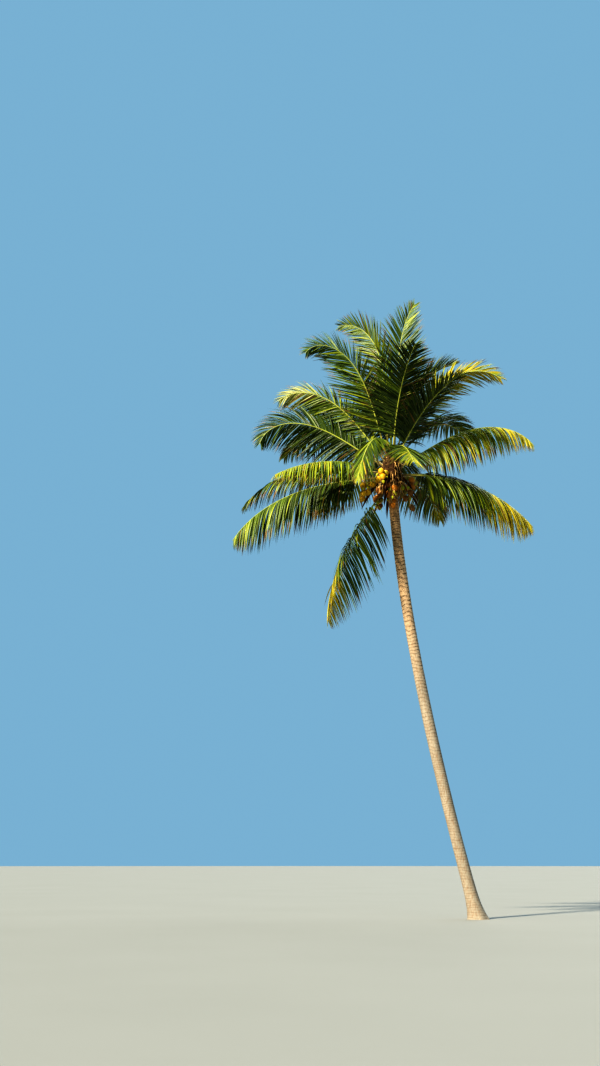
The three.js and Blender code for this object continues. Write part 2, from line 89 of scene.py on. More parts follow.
# Leaf sheaths round the heart of the crown: heights above ground and radii, and the flaps on them
SHEATH_HEIGHTS = (12.7503, 12.9, 13.1, 13.35, 13.6, 13.85, 14.05, 14.2)
SHEATH_RADII = (0.152, 0.205, 0.275, 0.3, 0.27, 0.21, 0.15, 0.085)
SHEATH_TOP = 14.26
SHEATH_TIP_RADIUS = 0.03
SHEATH_ROWS = 150
SHEATH_SIDES = 120
FLAPS = 3
FLAP_RISE = 0.5
FLAP_DEPTH = 0.06

# The closed youngest leaf: its radius and how far its tip leans
SPEAR_RADIUS = 0.036
SPEAR_BOW = 0.05

# Ribs: where they leave the heart, and where their leaflets start and end. Half widths and heights
# are that of the tip, what they gain by the foot, and what the stalk adds
FOOT_LOW = 13.3
FOOT_PER_DEGREE = 0.008
FOOT_INSET = 0.055
FOOT_SPREAD = 0.055
PETIOLE_SHARE = 0.17
BARE_TIP_SHARE = 0.02
RIB_STEPS = 100
RIB_ROWS = 64
RIB_SIDES = 12
RIB_END = 0.992
RIB_HALF_WIDTHS = (0.007, 0.022)
RIB_HALF_HEIGHTS = (0.006, 0.015, 0.008)
CHANNEL_DEPTH = 0.45
CHANNEL_END = 0.45
ROLL_FROM = 0.02
ROLL_OVER = 0.2

# Leaflets: place of the longest along the rib and what the first and last lack; degrees to the rib
# and how much they close; their roots as a share of the rib's half width; the pull of their weight;
# a blade's shape; chances of a darker, the same and a lighter look, and of withering
LEAFLET_PER_DEGREE = 0.003
LEAFLET_STEPS = 8
LEAFLETS_A_GROUP = 7.0
LONGEST_AT = 0.35
FOOT_LOSS = 0.2
TIP_LOSS = 0.8
LEAFLET_ANGLE = 64
ANGLE_CLOSING = 34
ROOT_AT = 0.8
PULL = 2.2
PULL_POWER = 1.2
WIDEST_AT = 0.25
BLADE_FOLD = 0.35
BLADE_THICKNESS = 0.0025
LOOK_CHANGES = (0.2, 0.62, 0.18)
WITHERED_LEAFLETS = 0.015
WITHERED_TIPS = 0.45
PALE_MIDRIB = (0.4, 0.4, 0.1)

# Leaf looks. Deep is the dark green of old leaflets, and it also paints shade: fronds whose shaded side
# faces the front take it.
LOOKS = ("deep", "green", "lime", "gold", "pale", "dry")

# One frond a row. Heading: degrees round the heart from +X towards +Y. Rise: degrees above level at
# the foot. Droop: degrees lost by the end. Bend: how late the droop comes. Length in metres. Roll:
# degrees that the blade turns about its rib. Lift: degrees that the leaflets rise out of the blade.
# Hang: how far they bend under their weight. Spread: how wide they stand. Fade: how late they
# shorten. Tint: their look, and tip the look that they turn to after the share called turn.
Frond = namedtuple(
    "Frond", "heading rise droop bend length roll lift hang spread fade tint tip turn"
)
FRONDS = (
    Frond(195, 75, 142, 3.9, 5.2, -100, 20, 0.05, 1, 1.7, "green", "deep", 0.75),
    Frond(152, 89, 98, 3.8, 5.7, 115, 20, 0.05, 1, 1.7, "green", "green", 1),
    Frond(20, 87, 32, 4, 5.6, -66, 25, 0.03, 1, 1.7, "green", "green", 1),
    # Frond 4 takes the deep look as painted shade: it reaches forward with its shaded underside to the
    # front.
    Frond(-75, 76, 60, 1.4, 3.9, 10, 10, 0.1, 1.2, 1.7, "deep", "deep", 1),
    Frond(-10, 66, 115, 2.6, 5.0, 80, 50, 0.1, 1, 1.7, "lime", "gold", 0.4),
    Frond(0, 34, 92, 2.6, 4.9, -15, -25, 1.9, 1, 1.7, "lime", "gold", 0.7),
    Frond(10, 5, 55, 1.3, 4.8, 10, -44, 1.5, 0.9, 3, "green", "gold", 0.5),
    Frond(200, -50, 38, 1.5, 5.0, -50, -35, 0.4, 1.25, 1.7, "green", "gold", 0.6),
    Frond(189, -7, 52, 1.8, 5.5, 0, -42, 1.5, 1, 3.2, "deep", "green", 0.45),
    Frond(217, 8, 40, 1, 4.5, 0, -12, 0.9, 1, 1.7, "green", "lime", 0.35),
    # Frond 11 takes the deep look as painted shade on its shaded underside.
    Frond(183, 35, 115, 3.2, 4.7, -90, 25, 0.3, 1, 1.7, "deep", "green", 0.9),
    # Frond 12's tip takes the pale look: bleached ends, and a painted highlight where sunlight whitens
    # the tip.
    Frond(178, 56, 105, 3, 4.6, -105, 30, 0.15, 1, 1.7, "green", "pale", 0.68),
    Frond(251, 75, 136, 0.34, 4.7, 0, -30, 0.2, 0.5, 1.7, "green", "lime", 0.8),
    Frond(-82, 66, 112, 0.3, 3.2, 10, -15, 0.2, 1, 1.7, "green", "lime", 0.8),
    Frond(45, 52, 90, 2, 5.0, 10, 18, 0.5, 1, 1.7, "green", "lime", 0.85),
    Frond(25, 75, 60, 2.2, 4.6, 0, 26, 0.1, 1, 1.7, "green", "lime", 0.9),
    Frond(105, 72, 80, 2.4, 5.2, 0, 25, 0.15, 1, 1.7, "green", "lime", 0.85),
    Frond(125, 60, 90, 2.2, 5.2, 15, 21, 0.35, 1, 1.7, "green", "lime", 0.9),
    Frond(138, 42, 80, 2, 5.1, -15, 15, 0.65, 1, 1.7, "deep", "green", 0.8),
    Frond(85, 32, 70, 1.8, 5.1, 0, 11, 0.85, 1, 1.7, "green", "gold", 0.8),
    Frond(160, 15, 65, 1.8, 5.2, 10, 5, 1.1, 1, 1.7, "green", "lime", 0.85),
    Frond(32, 12, 55, 1.6, 5.0, -10, 4, 1.2, 1, 1.7, "deep", "gold", 0.85),
    Frond(117, 20, 58, 1.6, 5.0, 0, 7, 1, 1, 1.7, "lime", "gold", 0.8),
    Frond(66, 16, 52, 1.6, 5.0, 0, 6, 1.1, 1, 1.7, "green", "gold", 0.85),
    Frond(-42, 57, 44, 1.6, 3.6, -10, 15, 0.2, 1.1, 1.7, "deep", "green", 0.8),
)

# Fruit bunches: heading, height of the stalk's foot, reach and fall of the stalk, nuts and tint
Bunch = namedtuple("Bunch", "heading foot reach fall nuts tint")
BUNCHES = (
    Bunch(206, 13.06, 1.12, 0.6, 6, "yellow_nut"),
    Bunch(234, 13.26, 0.74, 0.2, 5, "yellow_nut"),
    Bunch(262, 13.0, 0.5, 0.8, 5, "orange_nut"),
    Bunch(-44, 13.04, 0.8, 0.9, 4, "brown_nut"),
    Bunch(-16, 13.2, 0.8, 0.24, 3, "orange_nut"),
    Bunch(84, 13.06, 0.62, 0.56, 5, "yellow_nut"),
    Bunch(146, 13.06, 0.6, 0.62, 4, "brown_nut"),
)
STALK_RING = SHEATH_RADII[2]
STALK_INSET = 0.09
STALK_ARCH = 0.06
BARE_TWIGS = 22
SPATHE_AT = 0.2
SPATHE_LENGTH = 1.1
SPATHE_HALF_WIDTH = 0.06

# Nuts: place of the outermost full one on the stalk and the stretch that the others share; degrees
# from nut to nut and from bunch to bunch; the least gap in radii; places and sizes of small ones
FIRST_NUT_AT = 0.98
NUTS_OVER = 0.62
NUT_TURN = 137.5
BUNCH_TURN = 60
NUT_GAP = 1.75
SMALL_NUT_PLACES = (0.45, 0.9)
SMALL_NUT_SIZES = (0.4, 0.62)
SPREAD_ROUNDS = 30
HEART_MARGIN = 0.05
FRUIT_SEED = 200

# Old stalks and threads that hang from the heart, and how many of them are stout
DRY_STALKS = 160
STOUT_STALKS = 46
STALK_SEED = 77

# Stage
FLOOR_RADIUS = 400
FLOOR_SIDES = 96
FLOOR_TONES = ((0.22, 0.216, 0.196, 1), (0.245, 0.24, 0.22, 1))
SKY_COLOUR = (0.28, 0.49, 0.65, 1)
SKY_STRENGTH = 0.66

# Camera: place and pitch of the photograph, whose long side is 1066 pixels
CAMERA_PLACE = (-5.09, -36.0, 1.6)
CAMERA_PITCH = 105.3
FOCAL_PIXELS = 1200.0
LONG_SIDE_PIXELS = 1066.0
SENSOR = 36.0


def colour_property(name, description, default):
    """A linear colour that the sidebar shows as a swatch."""
    return FloatVectorProperty(
        name=name, description=description, default=default, subtype="COLOR", size=3, min=0, max=1
    )


def length_property(name, description, default):
    """A length in metres."""
    return FloatProperty(name=name, description=description, default=default, unit="LENGTH")


class PalmSizes(bpy.types.PropertyGroup):
    """Sizes of the palm that a user would change."""

    trunk_height: length_property(
        "Trunk height", "From the ground to the lowest leaf sheath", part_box("trunk")[1].z
    )
    trunk_radius: length_property("Trunk radius", "Radius of the trunk just below the crown", 0.15)
    root_flare: length_property(
        "Root flare", "How far the foot of the trunk swells beyond its own radius", 0.155
    )
    scar_spacing: length_property(
        "Scar spacing", "Distance between two leaf scars on the trunk", 0.092
    )
    leaflets_a_side: IntProperty(
        name="Leaflets a side", description="Leaflets on each side of a frond", default=118, min=8
    )
    leaflet_length: length_property("Leaflet length", "Longest leaflet of a level frond", 1.55)
    leaflet_width: length_property("Leaflet width", "Widest part of a leaflet", 0.047)
    nut_length: length_property("Nut length", "Length of a full nut with its husk", 0.25)
    nut_radius: length_property("Nut radius", "Radius of a full nut with its husk", 0.098)


class PalmColours(bpy.types.PropertyGroup):
    """Colours of the palm that a user would change."""

    # Deep leaf: dark green of old leaflets, also used as painted shade on fronds whose shaded side
    # faces the front
    deep: colour_property("Deep leaf", "Shaded old leaflets", (0.036, 0.062, 0.008))
    green: colour_property("Green leaf", "Most leaflets", (0.1, 0.147, 0.013))
    lime: colour_property("Lime leaf", "Young leaflets", (0.25, 0.285, 0.02))
    gold: colour_property("Gold leaf", "Ripe leaflets", (0.42, 0.35, 0.025))
    # Pale leaf: bleached leaflet ends, also used as a painted highlight on the sunlit tip of frond 12
    pale: colour_property("Pale leaf", "Bleached leaflet ends", (0.33, 0.33, 0.1))
    dry: colour_property("Dry leaf", "Withered leaflet ends", (0.2, 0.11, 0.035))
    rib: colour_property("Rib", "Ribs of the fronds", (0.42, 0.44, 0.09))
    bark: colour_property("Upper bark", "Bark between the upper scars", (0.7, 0.46, 0.25))
    old_bark: colour_property("Lower bark", "Weathered bark near the ground", (0.27, 0.235, 0.185))
    scar: colour_property("Scar", "Leaf scars and cracks of the bark", (0.09, 0.05, 0.025))
    # Fibre is kept very dark: the fibre's own brown, and painted shade inside the heart of the crown
    fibre: colour_property("Fibre", "Matted fibre of the leaf sheaths", (0.06, 0.033, 0.014))
    stalk: colour_property("Stalk", "Dry fruit stalks", (0.5, 0.33, 0.14))
    old_stalk: colour_property("Old stalk", "Stalks of fallen fruit", (0.07, 0.035, 0.015))
    spathe: colour_property("Spathe", "Woody sheath over a flower stalk", (0.08, 0.036, 0.016))
    yellow_nut: colour_property("Yellow nut", "Husk of a yellow nut", (0.66, 0.41, 0.022))
    orange_nut: colour_property("Orange nut", "Husk of an orange nut", (0.55, 0.22, 0.02))
    brown_nut: colour_property("Brown nut", "Husk of a ripe nut", (0.24, 0.11, 0.025))
    young_nut: colour_property("Young nut", "Husk of a small unripe nut", (0.4, 0.42, 0.03))


# Arrays of closed bodies

Shape = namedtuple("Shape", "points quads triangles quad_looks triangle_looks values")


def unit(vectors):
    """Each vector divided by its own length."""
    return vectors / np.linalg.norm(vectors, axis=-1, keepdims=True)


def skin(rings, starts=None, ends=None, looks=None, values=None):
    """Closed bodies from rings of points, shaped (bodies, rings, sides, 3).

    Quads join each ring to the next. A fan to a start point and one to an end point, each the mean
    of its ring unless given, close a body. Looks, shaped (bodies, rings - 1), number the materials of
    the bands, and values, shaped (bodies, rings, sides, 2), are carried on the points. Faces are
    turned outward by the sign of the volume.
    """
    bodies, count, sides = rings.shape[:3]
    starts = rings[:, 0].mean(axis=1) if starts is None else starts
    ends = rings[:, -1].mean(axis=1) if ends is None else ends
    points = np.concatenate([rings.reshape(bodies, -1, 3), starts[:, None], ends[:, None]], axis=1)
    stride = count * sides + 2
    first = np.arange(bodies) * stride
    turn = np.arange(sides)
    beside = (turn + 1) % sides
    base = (np.arange(count - 1) * sides)[:, None]
    band = np.stack([base + turn, base + beside, base + beside + sides, base + turn + sides], axis=-1)
    quads = band[None] + first[:, None, None, None]
    last = (count - 1) * sides
    fan_start = np.stack([beside, turn, np.full(sides, stride - 2)], axis=-1)
    fan_end = np.stack([last + turn, last + beside, np.full(sides, stride - 1)], axis=-1)
    triangles = np.stack([fan_start, fan_end])[None] + first[:, None, None, None]
    flat = points.reshape(-1, 3)
    if looks is None:
        looks = np.zeros((bodies, count - 1), int)
    quad_looks = np.repeat(looks[:, :, None], sides, axis=2).ravel()
    triangle_looks = np.repeat(looks[:, [0, -1], None], sides, axis=2).ravel()
    if values is None:
        share = np.broadcast_to(np.linspace(0, 1, count)[None, :, None], (bodies, count, sides))
        values = np.stack([np.broadcast_to(turn / sides, share.shape), share], axis=-1)
    ended = np.concatenate([values[:, :1].mean(axis=2), values[:, -1:].mean(axis=2)], axis=1)
    values = np.concatenate([values.reshape(bodies, -1, 2), ended], axis=1).reshape(-1, 2)
    quads, triangles = quads.reshape(-1, 4), triangles.reshape(-1, 3)
    if volume(flat, quads, triangles) < 0:
        quads, triangles = quads[:, ::-1], triangles[:, ::-1]
    return Shape(flat, quads, triangles, quad_looks, triangle_looks, values)


def volume(points, quads, triangles):
    """Volume inside closed faces: a sixth of the sum of each triangle's triple product."""
    every = np.concatenate([quads[:, [0, 1, 2]], quads[:, [0, 2, 3]], triangles])
    a, b, c = (points[every[:, k]] for k in range(3))
    return np.einsum("ij,ij->i", a, np.cross(b, c)).sum() / 6


def joined(shapes):
    """Several shapes as one: points are stacked and faces are shifted past the points before them."""
    shifts = np.cumsum([0] + [len(shape.points) for shape in shapes[:-1]])
    moved = [
        shape._replace(quads=shape.quads + shift, triangles=shape.triangles + shift)
        for shape, shift in zip(shapes, shifts)
    ]
    return Shape(*(np.concatenate(part) for part in zip(*moved)))


def new_object(name, data):
    """A mesh, lamp or camera placed in the scene."""
    placed = bpy.data.objects.new(name, data)
    bpy.context.scene.collection.objects.link(placed)
    return placed


def add_piece(name, shape, materials, nodes=()):
    """A mesh object from a shape, with its values as a UV map, riding on the palm's only body."""
    mesh = bpy.data.meshes.new(name)
    corners = np.concatenate([shape.quads.ravel(), shape.triangles.ravel()])
    sizes = np.concatenate([np.full(len(shape.quads), 4), np.full(len(shape.triangles), 3)])
    mesh.vertices.add(len(shape.points))
    mesh.vertices.foreach_set("co", shape.points.ravel())
    mesh.loops.add(len(corners))
    mesh.loops.foreach_set("vertex_index", corners)
    mesh.polygons.add(len(sizes))
    mesh.polygons.foreach_set("loop_start", np.cumsum(sizes) - sizes)
    mesh.polygons.foreach_set(
        "material_index", np.concatenate([shape.quad_looks, shape.triangle_looks])
    )
    mesh.update(calc_edges=True)
    mesh.shade_smooth()
    mesh.set_sharp_from_angle(angle=math.radians(SHARP_ANGLE))
    chart = mesh.uv_layers.new(name="surface")
    chart.uv.foreach_set("vector", shape.values[corners].ravel())
    for material in materials:
        mesh.materials.append(material)
    piece = new_object(name, mesh)
    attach(piece, "root")
    if nodes:
        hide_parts(*nodes)


def ripple(seed, *coordinates):
    """Smooth noise of about -1 to 1: the mean of six sines of random mixes of the coordinates."""
    rng = np.random.default_rng(seed)
    waves = 6
    total = 0.0
    for _ in range(waves):
        mix = rng.normal(size=len(coordinates))
        total = total + np.sin(sum(m * c for m, c in zip(mix, coordinates)) + rng.uniform(0, 6.28))
    return total / waves


def full_turn(sides):
    """Angles of evenly spaced sides, from 0 up to a full turn."""
    return 2 * np.pi * np.arange(sides) / sides


def compass(degrees):
    """Two level unit vectors of a heading: outward (cos, sin, 0) and to the side (sin, -cos, 0)."""
    heading = math.radians(degrees)
    east, north = math.cos(heading), math.sin(heading)
    return np.array([east, north, 0.0]), np.array([north, -east, 0.0])


def circle(turn, first, second):
    """Unit circles in the planes of two directions: cos(turn) * first + sin(turn) * second."""
    return np.cos(turn)[:, None] * first[..., None, :] + np.sin(turn)[:, None] * second[..., None, :]


def upright_rings(x, y, radius, heights, turn):
    """Level rings: x + radius * cos(turn) and y + radius * sin(turn) at each height."""
    level = np.broadcast_to(heights, radius.shape)
    return np.stack([x + radius * np.cos(turn), y + radius * np.sin(turn), level], axis=-1)[None]


def carried_rings(line, side, up, across, rise):
    """Rings of a section carried along a line: line + across * side + rise * up."""
    rings = line[:, None] + across[..., None] * side[:, None] + rise[..., None] * up[:, None]
    return rings[None]


def tube(line, side, half_widths, half_heights, sides):
    """Rings round one line: an ellipse of each half width along the side and half height across it."""
    side = np.broadcast_to(side, line.shape)
    up = unit(np.cross(side, unit(np.gradient(line, axis=0))))
    turn = full_turn(sides)
    across = half_widths[:, None] * np.cos(turn)
    rise = half_heights[:, None] * np.sin(turn)
    return carried_rings(line, side, up, across, rise)


def strands(starts, bends, ends, radius, taper, count, sides):
    """Rings round many curves at once, each a parabola from start to end pulled towards its bend.

    The place at t is (1-t)^2 start + 2t(1-t) bend + t^2 end, and the radius falls evenly to its taper.
    """
    t = np.linspace(0, 1, count)[None, :, None]
    a, b, c = starts[:, None], bends[:, None], ends[:, None]
    line = (1 - t) ** 2 * a + 2 * t * (1 - t) * b + t**2 * c
    along = unit(2 * (1 - t) * (b - a) + 2 * t * (c - b))
    side = unit(np.cross(c - a, b - a) + 1e-6 * np.array([1.0, 0.7, 0.0]))
    size = (radius * (1 + (taper - 1) * t))[..., None]
    return line[:, :, None] + size * circle(full_turn(sides), side, np.cross(side, along))


# Materials


def feed(tree, socket, value):
    """An input linked to the socket that it is given, or set to the value."""
    if isinstance(value, bpy.types.NodeSocket):
        tree.links.new(value, socket)
    else:
        socket.default_value = value


def new_node(tree, kind, **inputs):
    """A node with its named inputs fed. An underscore in a name stands for a space."""
    node = tree.nodes.new(kind)
    for name, value in inputs.items():
        feed(tree, node.inputs[name.replace("_", " ")], value)
    return node


def mottle_group():
    """Shared noise: a broad mask and a fine grain in object coordinates, stretched along one axis."""
    found = bpy.data.node_groups.get("Mottle")
    if found:
        return found
    group = bpy.data.node_groups.new("Mottle", "ShaderNodeTree")
    for name, way, kind in (
        ("Scale", "INPUT", "NodeSocketVector"),
        ("Contrast", "INPUT", "NodeSocketFloat"),
        ("Mask", "OUTPUT", "NodeSocketFloat"),
        ("Grain", "OUTPUT", "NodeSocketFloat"),
    ):
        group.interface.new_socket(name, in_out=way, socket_type=kind)
    given = new_node(group, "NodeGroupInput")
    place = new_node(group, "ShaderNodeTexCoord")
    stretch = new_node(group, "ShaderNodeVectorMath")
    stretch.operation = "MULTIPLY"
    feed(group, stretch.inputs[0], place.outputs["Object"])
    feed(group, stretch.inputs[1], given.outputs["Scale"])
    spot = stretch.outputs[0]
    broad = new_node(group, "ShaderNodeTexNoise", Vector=spot, Scale=1.0, Detail=3.0)
    fine = new_node(group, "ShaderNodeTexNoise", Vector=spot, Scale=9.0, Detail=4.0)
    spread = new_node(
        group, "ShaderNodeMapRange", Value=broad.outputs["Fac"], From_Min=0.32, From_Max=0.68
    )
    strength = new_node(group, "ShaderNodeMath")
    strength.operation = "MULTIPLY"
    feed(group, strength.inputs[0], spread.outputs["Result"])
    feed(group, strength.inputs[1], given.outputs["Contrast"])
    new_node(group, "NodeGroupOutput", Mask=strength.outputs[0], Grain=fine.outputs["Fac"])
    return group


def rgba(colour, share=1.0):
    """A colour darkened or lightened by a factor, with full alpha."""
    return (*(min(1.0, channel * share) for channel in colour), 1.0)


class Finish:
    """A material under construction: its node tree, its shader and its shared noise."""

    def __init__(self, name, roughness, scale, contrast):
        self.material = bpy.data.materials.new(name)
        self.material.use_nodes = True
        self.tree = self.material.node_tree
        self.shader = self.tree.nodes["Principled BSDF"]
        self.shader.inputs["Roughness"].default_value = roughness
        self.shader.inputs["Specular IOR Level"].default_value = 0.35
        mottle = self.tree.nodes.new("ShaderNodeGroup")
        mottle.node_tree = mottle_group()
        mottle.inputs["Scale"].default_value = scale
        mottle.inputs["Contrast"].default_value = contrast
        self.mask, self.grain = mottle.outputs["Mask"], mottle.outputs["Grain"]

    def node(self, kind, **inputs):
        """A node of this material with its named inputs fed."""
        return new_node(self.tree, kind, **inputs)

    def mix(self, factor, first, second):
        """First colour where the factor is 0 and second where it is 1; each a colour or a socket."""
        node = self.node("ShaderNodeMix")
        node.data_type = "RGBA"
        for name, value in (("Factor", factor), ("A", first), ("B", second)):
            feed(self.tree, node.inputs[name], value)
        return node.outputs["Result"]

    def maths(self, operation, first, second=0.0):
        """One arithmetic step on sockets or numbers."""
        node = self.node("ShaderNodeMath")
        node.operation = operation
        for socket, value in zip(node.inputs, (first, second)):
            feed(self.tree, socket, value)
        return node.outputs[0]

    def ranged(self, value, low, high, to_low=0.0, to_high=1.0):
        """Value carried from one range to another and held at its ends."""
        ends = {"From_Min": low, "From_Max": high, "To_Min": to_low, "To_Max": to_high}
        return self.node("ShaderNodeMapRange", Value=value, **ends).outputs["Result"]

    def chart(self):
        """The two values on the surface: across and along the piece."""
        node = self.node("ShaderNodeUVMap")
        node.uv_map = "surface"
        split = self.node("ShaderNodeSeparateXYZ", Vector=node.outputs["UV"])
        return split.outputs["X"], split.outputs["Y"]

    def height(self):
        """Height above ground."""
        place = self.node("ShaderNodeTexCoord").outputs["Object"]
        return self.node("ShaderNodeSeparateXYZ", Vector=place).outputs["Z"]

    def colour(self, socket):
        """Base colour from a socket."""
        self.tree.links.new(socket, self.shader.inputs["Base Color"])

    def rough(self, low, high):
        """Roughness that follows the grain from low to high."""
        socket = self.ranged(self.grain, 0.3, 0.7, low, high)
        self.tree.links.new(socket, self.shader.inputs["Roughness"])

    def bump(self, height, strength, distance):
        """Relief from a height, with its strength and its distance in metres."""
        node = self.node("ShaderNodeBump", Height=height, Strength=strength, Distance=distance)
        self.tree.links.new(node.outputs["Normal"], self.shader.inputs["Normal"])


def built_once(build):
    """A finish is built at its first use, and found by its name after that."""

    def finish(name, *values):
        return bpy.data.materials.get(name) or build(name, *values)

    return finish


@built_once
def leaf_finish(name, colour):
    """A half glossy blade: a paler midrib, fine lengthwise veins and a slight change of tone."""
    finish = Finish(name, 0.4, (0.9, 0.9, 0.9), 0.55)
    across, _ = finish.chart()
    toned = finish.mix(finish.mask, rgba(colour, 0.8), rgba(colour, 1.25))
    from_rib = finish.maths("ABSOLUTE", finish.maths("SUBTRACT", across, 0.5))
    midrib = finish.ranged(from_rib, 0.03, 0.07, 0.55, 0.0)
    light = tuple(0.6 * channel + 0.4 * paler for channel, paler in zip(colour, PALE_MIDRIB))
    finish.colour(finish.mix(midrib, toned, rgba(light)))
    finish.rough(0.33, 0.5)
    veins = finish.maths("SINE", finish.maths("MULTIPLY", across, 90.0))
    finish.bump(veins, 0.25, 0.002)
    return finish.material


def leaf_finishes(colours):
    """One material for each leaf look."""
    return [leaf_finish(f"blade_{look}", getattr(colours, look)) for look in LOOKS]


@built_once
def rib_finish(name, colours):
    """Rib: brownish at its clasping foot, then yellow-green in two tones."""
    finish = Finish(name, 0.45, (3.0, 3.0, 3.0), 0.5)
    _, along = finish.chart()
    toned = finish.mix(finish.mask, rgba(colours.rib, 0.75), rgba(colours.rib, 1.2))
    foot = finish.ranged(along, 0.03, 0.2, 1.0, 0.0)
    worn = finish.maths("MULTIPLY", foot, finish.ranged(finish.grain, 0.2, 0.5))
    finish.colour(finish.mix(worn, toned, rgba(colours.stalk, 0.4)))
    finish.rough(0.4, 0.6)
    finish.bump(finish.grain, 0.3, 0.004)
    return finish.material


@built_once
def bark_finish(name, colours):
    """Bark: tan between dark leaf scars above, darker and greyer below, with vertical grain."""
    finish = Finish(name, 0.9, (5.0, 5.0, 1.2), 0.9)
    _, groove = finish.chart()
    aged = finish.ranged(finish.height(), *BARK_TURNS)
    ground = finish.mix(aged, rgba(colours.old_bark), rgba(colours.bark))
    patch = finish.mix(aged, rgba(colours.old_bark, 1.35), rgba(colours.bark, 0.7))
    patched = finish.mix(finish.mask, ground, patch)
    place = finish.node("ShaderNodeTexCoord").outputs["Object"]
    stretch = finish.node("ShaderNodeMapping", Vector=place, Scale=(38.0, 38.0, 9.0))
    grain = finish.node(
        "ShaderNodeTexNoise", Vector=stretch.outputs["Vector"], Scale=1.0, Detail=5.0
    )
    streak = finish.ranged(grain.outputs["Fac"], 0.42, 0.7, 0.0, 0.6)
    streaked = finish.mix(streak, patched, rgba(colours.scar, 2.4))
    sunk = finish.ranged(groove, 0.12, 0.75)
    edge = finish.maths("MULTIPLY", sunk, finish.ranged(aged, 0.0, 1.0, 0.3, 1.0))
    finish.colour(finish.mix(edge, streaked, rgba(colours.scar, 0.7)))
    finish.rough(0.8, 0.97)
    finish.bump(grain.outputs["Fac"], 0.6, 0.01)
    return finish.material


@built_once
def matted_finish(name, colour, scale, bump, edge=None):
    """Dry fibrous stuff: dark and light threads along the piece, and paler edges of a given colour."""
    finish = Finish(name, 0.9, scale, 1.0)
    threads = finish.mix(finish.grain, rgba(colour, 0.45), rgba(colour, 1.9))
    toned = finish.mix(finish.mask, threads, rgba(colour, 1.4))
    if edge:
        across, _ = finish.chart()
        worn = finish.maths("MULTIPLY", finish.ranged(across, 0.72, 0.98), finish.grain)
        toned = finish.mix(worn, toned, rgba(edge))
    finish.colour(toned)
    finish.rough(0.75, 0.97)
    finish.bump(finish.grain, bump, 0.01)
    return finish.material


def stalk_finish(name, colour):
    """A dry stalk: matted stuff with short threads and no edges."""
    return matted_finish(name, colour, (12.0, 12.0, 6.0), 0.5)


@built_once
def nut_finish(name, colour, brown):
    """Husk: smooth, mottled in two tones and browner towards its free end."""
    finish = Finish(name, 0.45, (7.0, 7.0, 7.0), 0.45)
    _, along = finish.chart()
    mottled = finish.mix(finish.mask, rgba(colour), rgba(colour, 0.55))
    end = finish.ranged(along, 0.75, 1.0, 0.0, 0.7)
    finish.colour(finish.mix(end, mottled, rgba(brown)))
    finish.rough(0.35, 0.6)
    finish.bump(finish.grain, 0.2, 0.004)
    return finish.material


# Trunk and heart


def trunk_middle(heights):
    """How far the trunk has leant at a height: reach * (1 - (1 - height / lean height) ^ power)."""
    left = np.maximum(1 - heights / LEAN_HEIGHT, 0)
    return LEAN_REACH * (1 - left**LEAN_POWER)


def trunk_shape(sizes):
    """The trunk as a function of height and turn.

    Its radius is an even taper, plus root flare * e ^ (-height / flare height), plus a relief of leaf
    scars, cracks and dents, and of rootlets that fade above the ground. The phase of the scars is
    height / spacing plus a slow tilt round the trunk, and each is a bell round half a phase.
    """
    heights = sizes.trunk_height * np.linspace(0, 1, TRUNK_ROWS)[:, None]
    turn = full_turn(TRUNK_SIDES)[None]
    east, north = np.cos(turn), np.sin(turn)
    young = np.clip((heights - OLD_BARK_TOP) / YOUNG_BARK_OVER, 0, 1)
    tilt = 0.24 * np.cos(turn - 5.1 * heights) + 0.1 * np.cos(3 * turn + 2.3 * heights)
    tilt = tilt + 0.3 * ripple(13, 5 * heights, 1.5 * east, 1.5 * north)
    spacing = sizes.scar_spacing * (0.8 + 0.2 * young)
    phase = (heights / spacing + tilt + 0.5 * np.sin(1.7 * heights)) % 1.0
    scar = np.exp(-(((phase - 0.5) / SCAR_WIDTH) ** 2))
    scar = scar * np.clip(0.7 + 1.3 * ripple(3, 7 * east, 7 * north, 23 * heights), 0.05, 1)
    lip = 0.5 - np.abs(phase - 0.72)
    crack_line = np.sin(11 * turn + 7.5 * ripple(5, 2 * heights, east, north))
    crack = np.clip(1 - 14 * np.abs(crack_line), 0, 1)
    crack = crack * np.clip(3 * ripple(7, 3 * heights, 2 * east, 2 * north), 0, 1)
    relief = (RING_DEPTH + YOUNG_RING_DEPTH * young) * (lip - 1.1 * scar) - CRACK_DEPTH * crack
    relief = relief + DENT_DEPTH * ripple(9, 2 * heights, 2 * east, 2 * north)
    rootlets = np.abs(np.sin(19 * turn + 3 * ripple(11, 9 * heights, 3 * east, 3 * north)))
    lobes = LOBE_DEPTH * np.cos(5 * turn + 0.7)
    foot = np.exp(-heights / ROOTLET_HEIGHT)
    relief = relief + foot * (ROOTLET_DEPTH * rootlets + lobes) - FOOT_DEPTH * foot
    radius = sizes.trunk_radius + TRUNK_TAPER * (1 - heights / sizes.trunk_height)
    radius = radius + sizes.root_flare * np.exp(-heights / FLARE_HEIGHT) + relief
    dark = np.clip(np.maximum(scar, 0.8 * crack), 0, 1)
    values = np.stack([np.broadcast_to(turn, dark.shape), dark], axis=-1)
    rings = upright_rings(trunk_middle(heights), HEART[1], radius, heights, turn)
    return skin(rings, values=values[None])


def sheath_radius(heights):
    """Radius of the heart at each height, straight between the named heights."""
    return np.interp(heights, SHEATH_HEIGHTS, SHEATH_RADII)


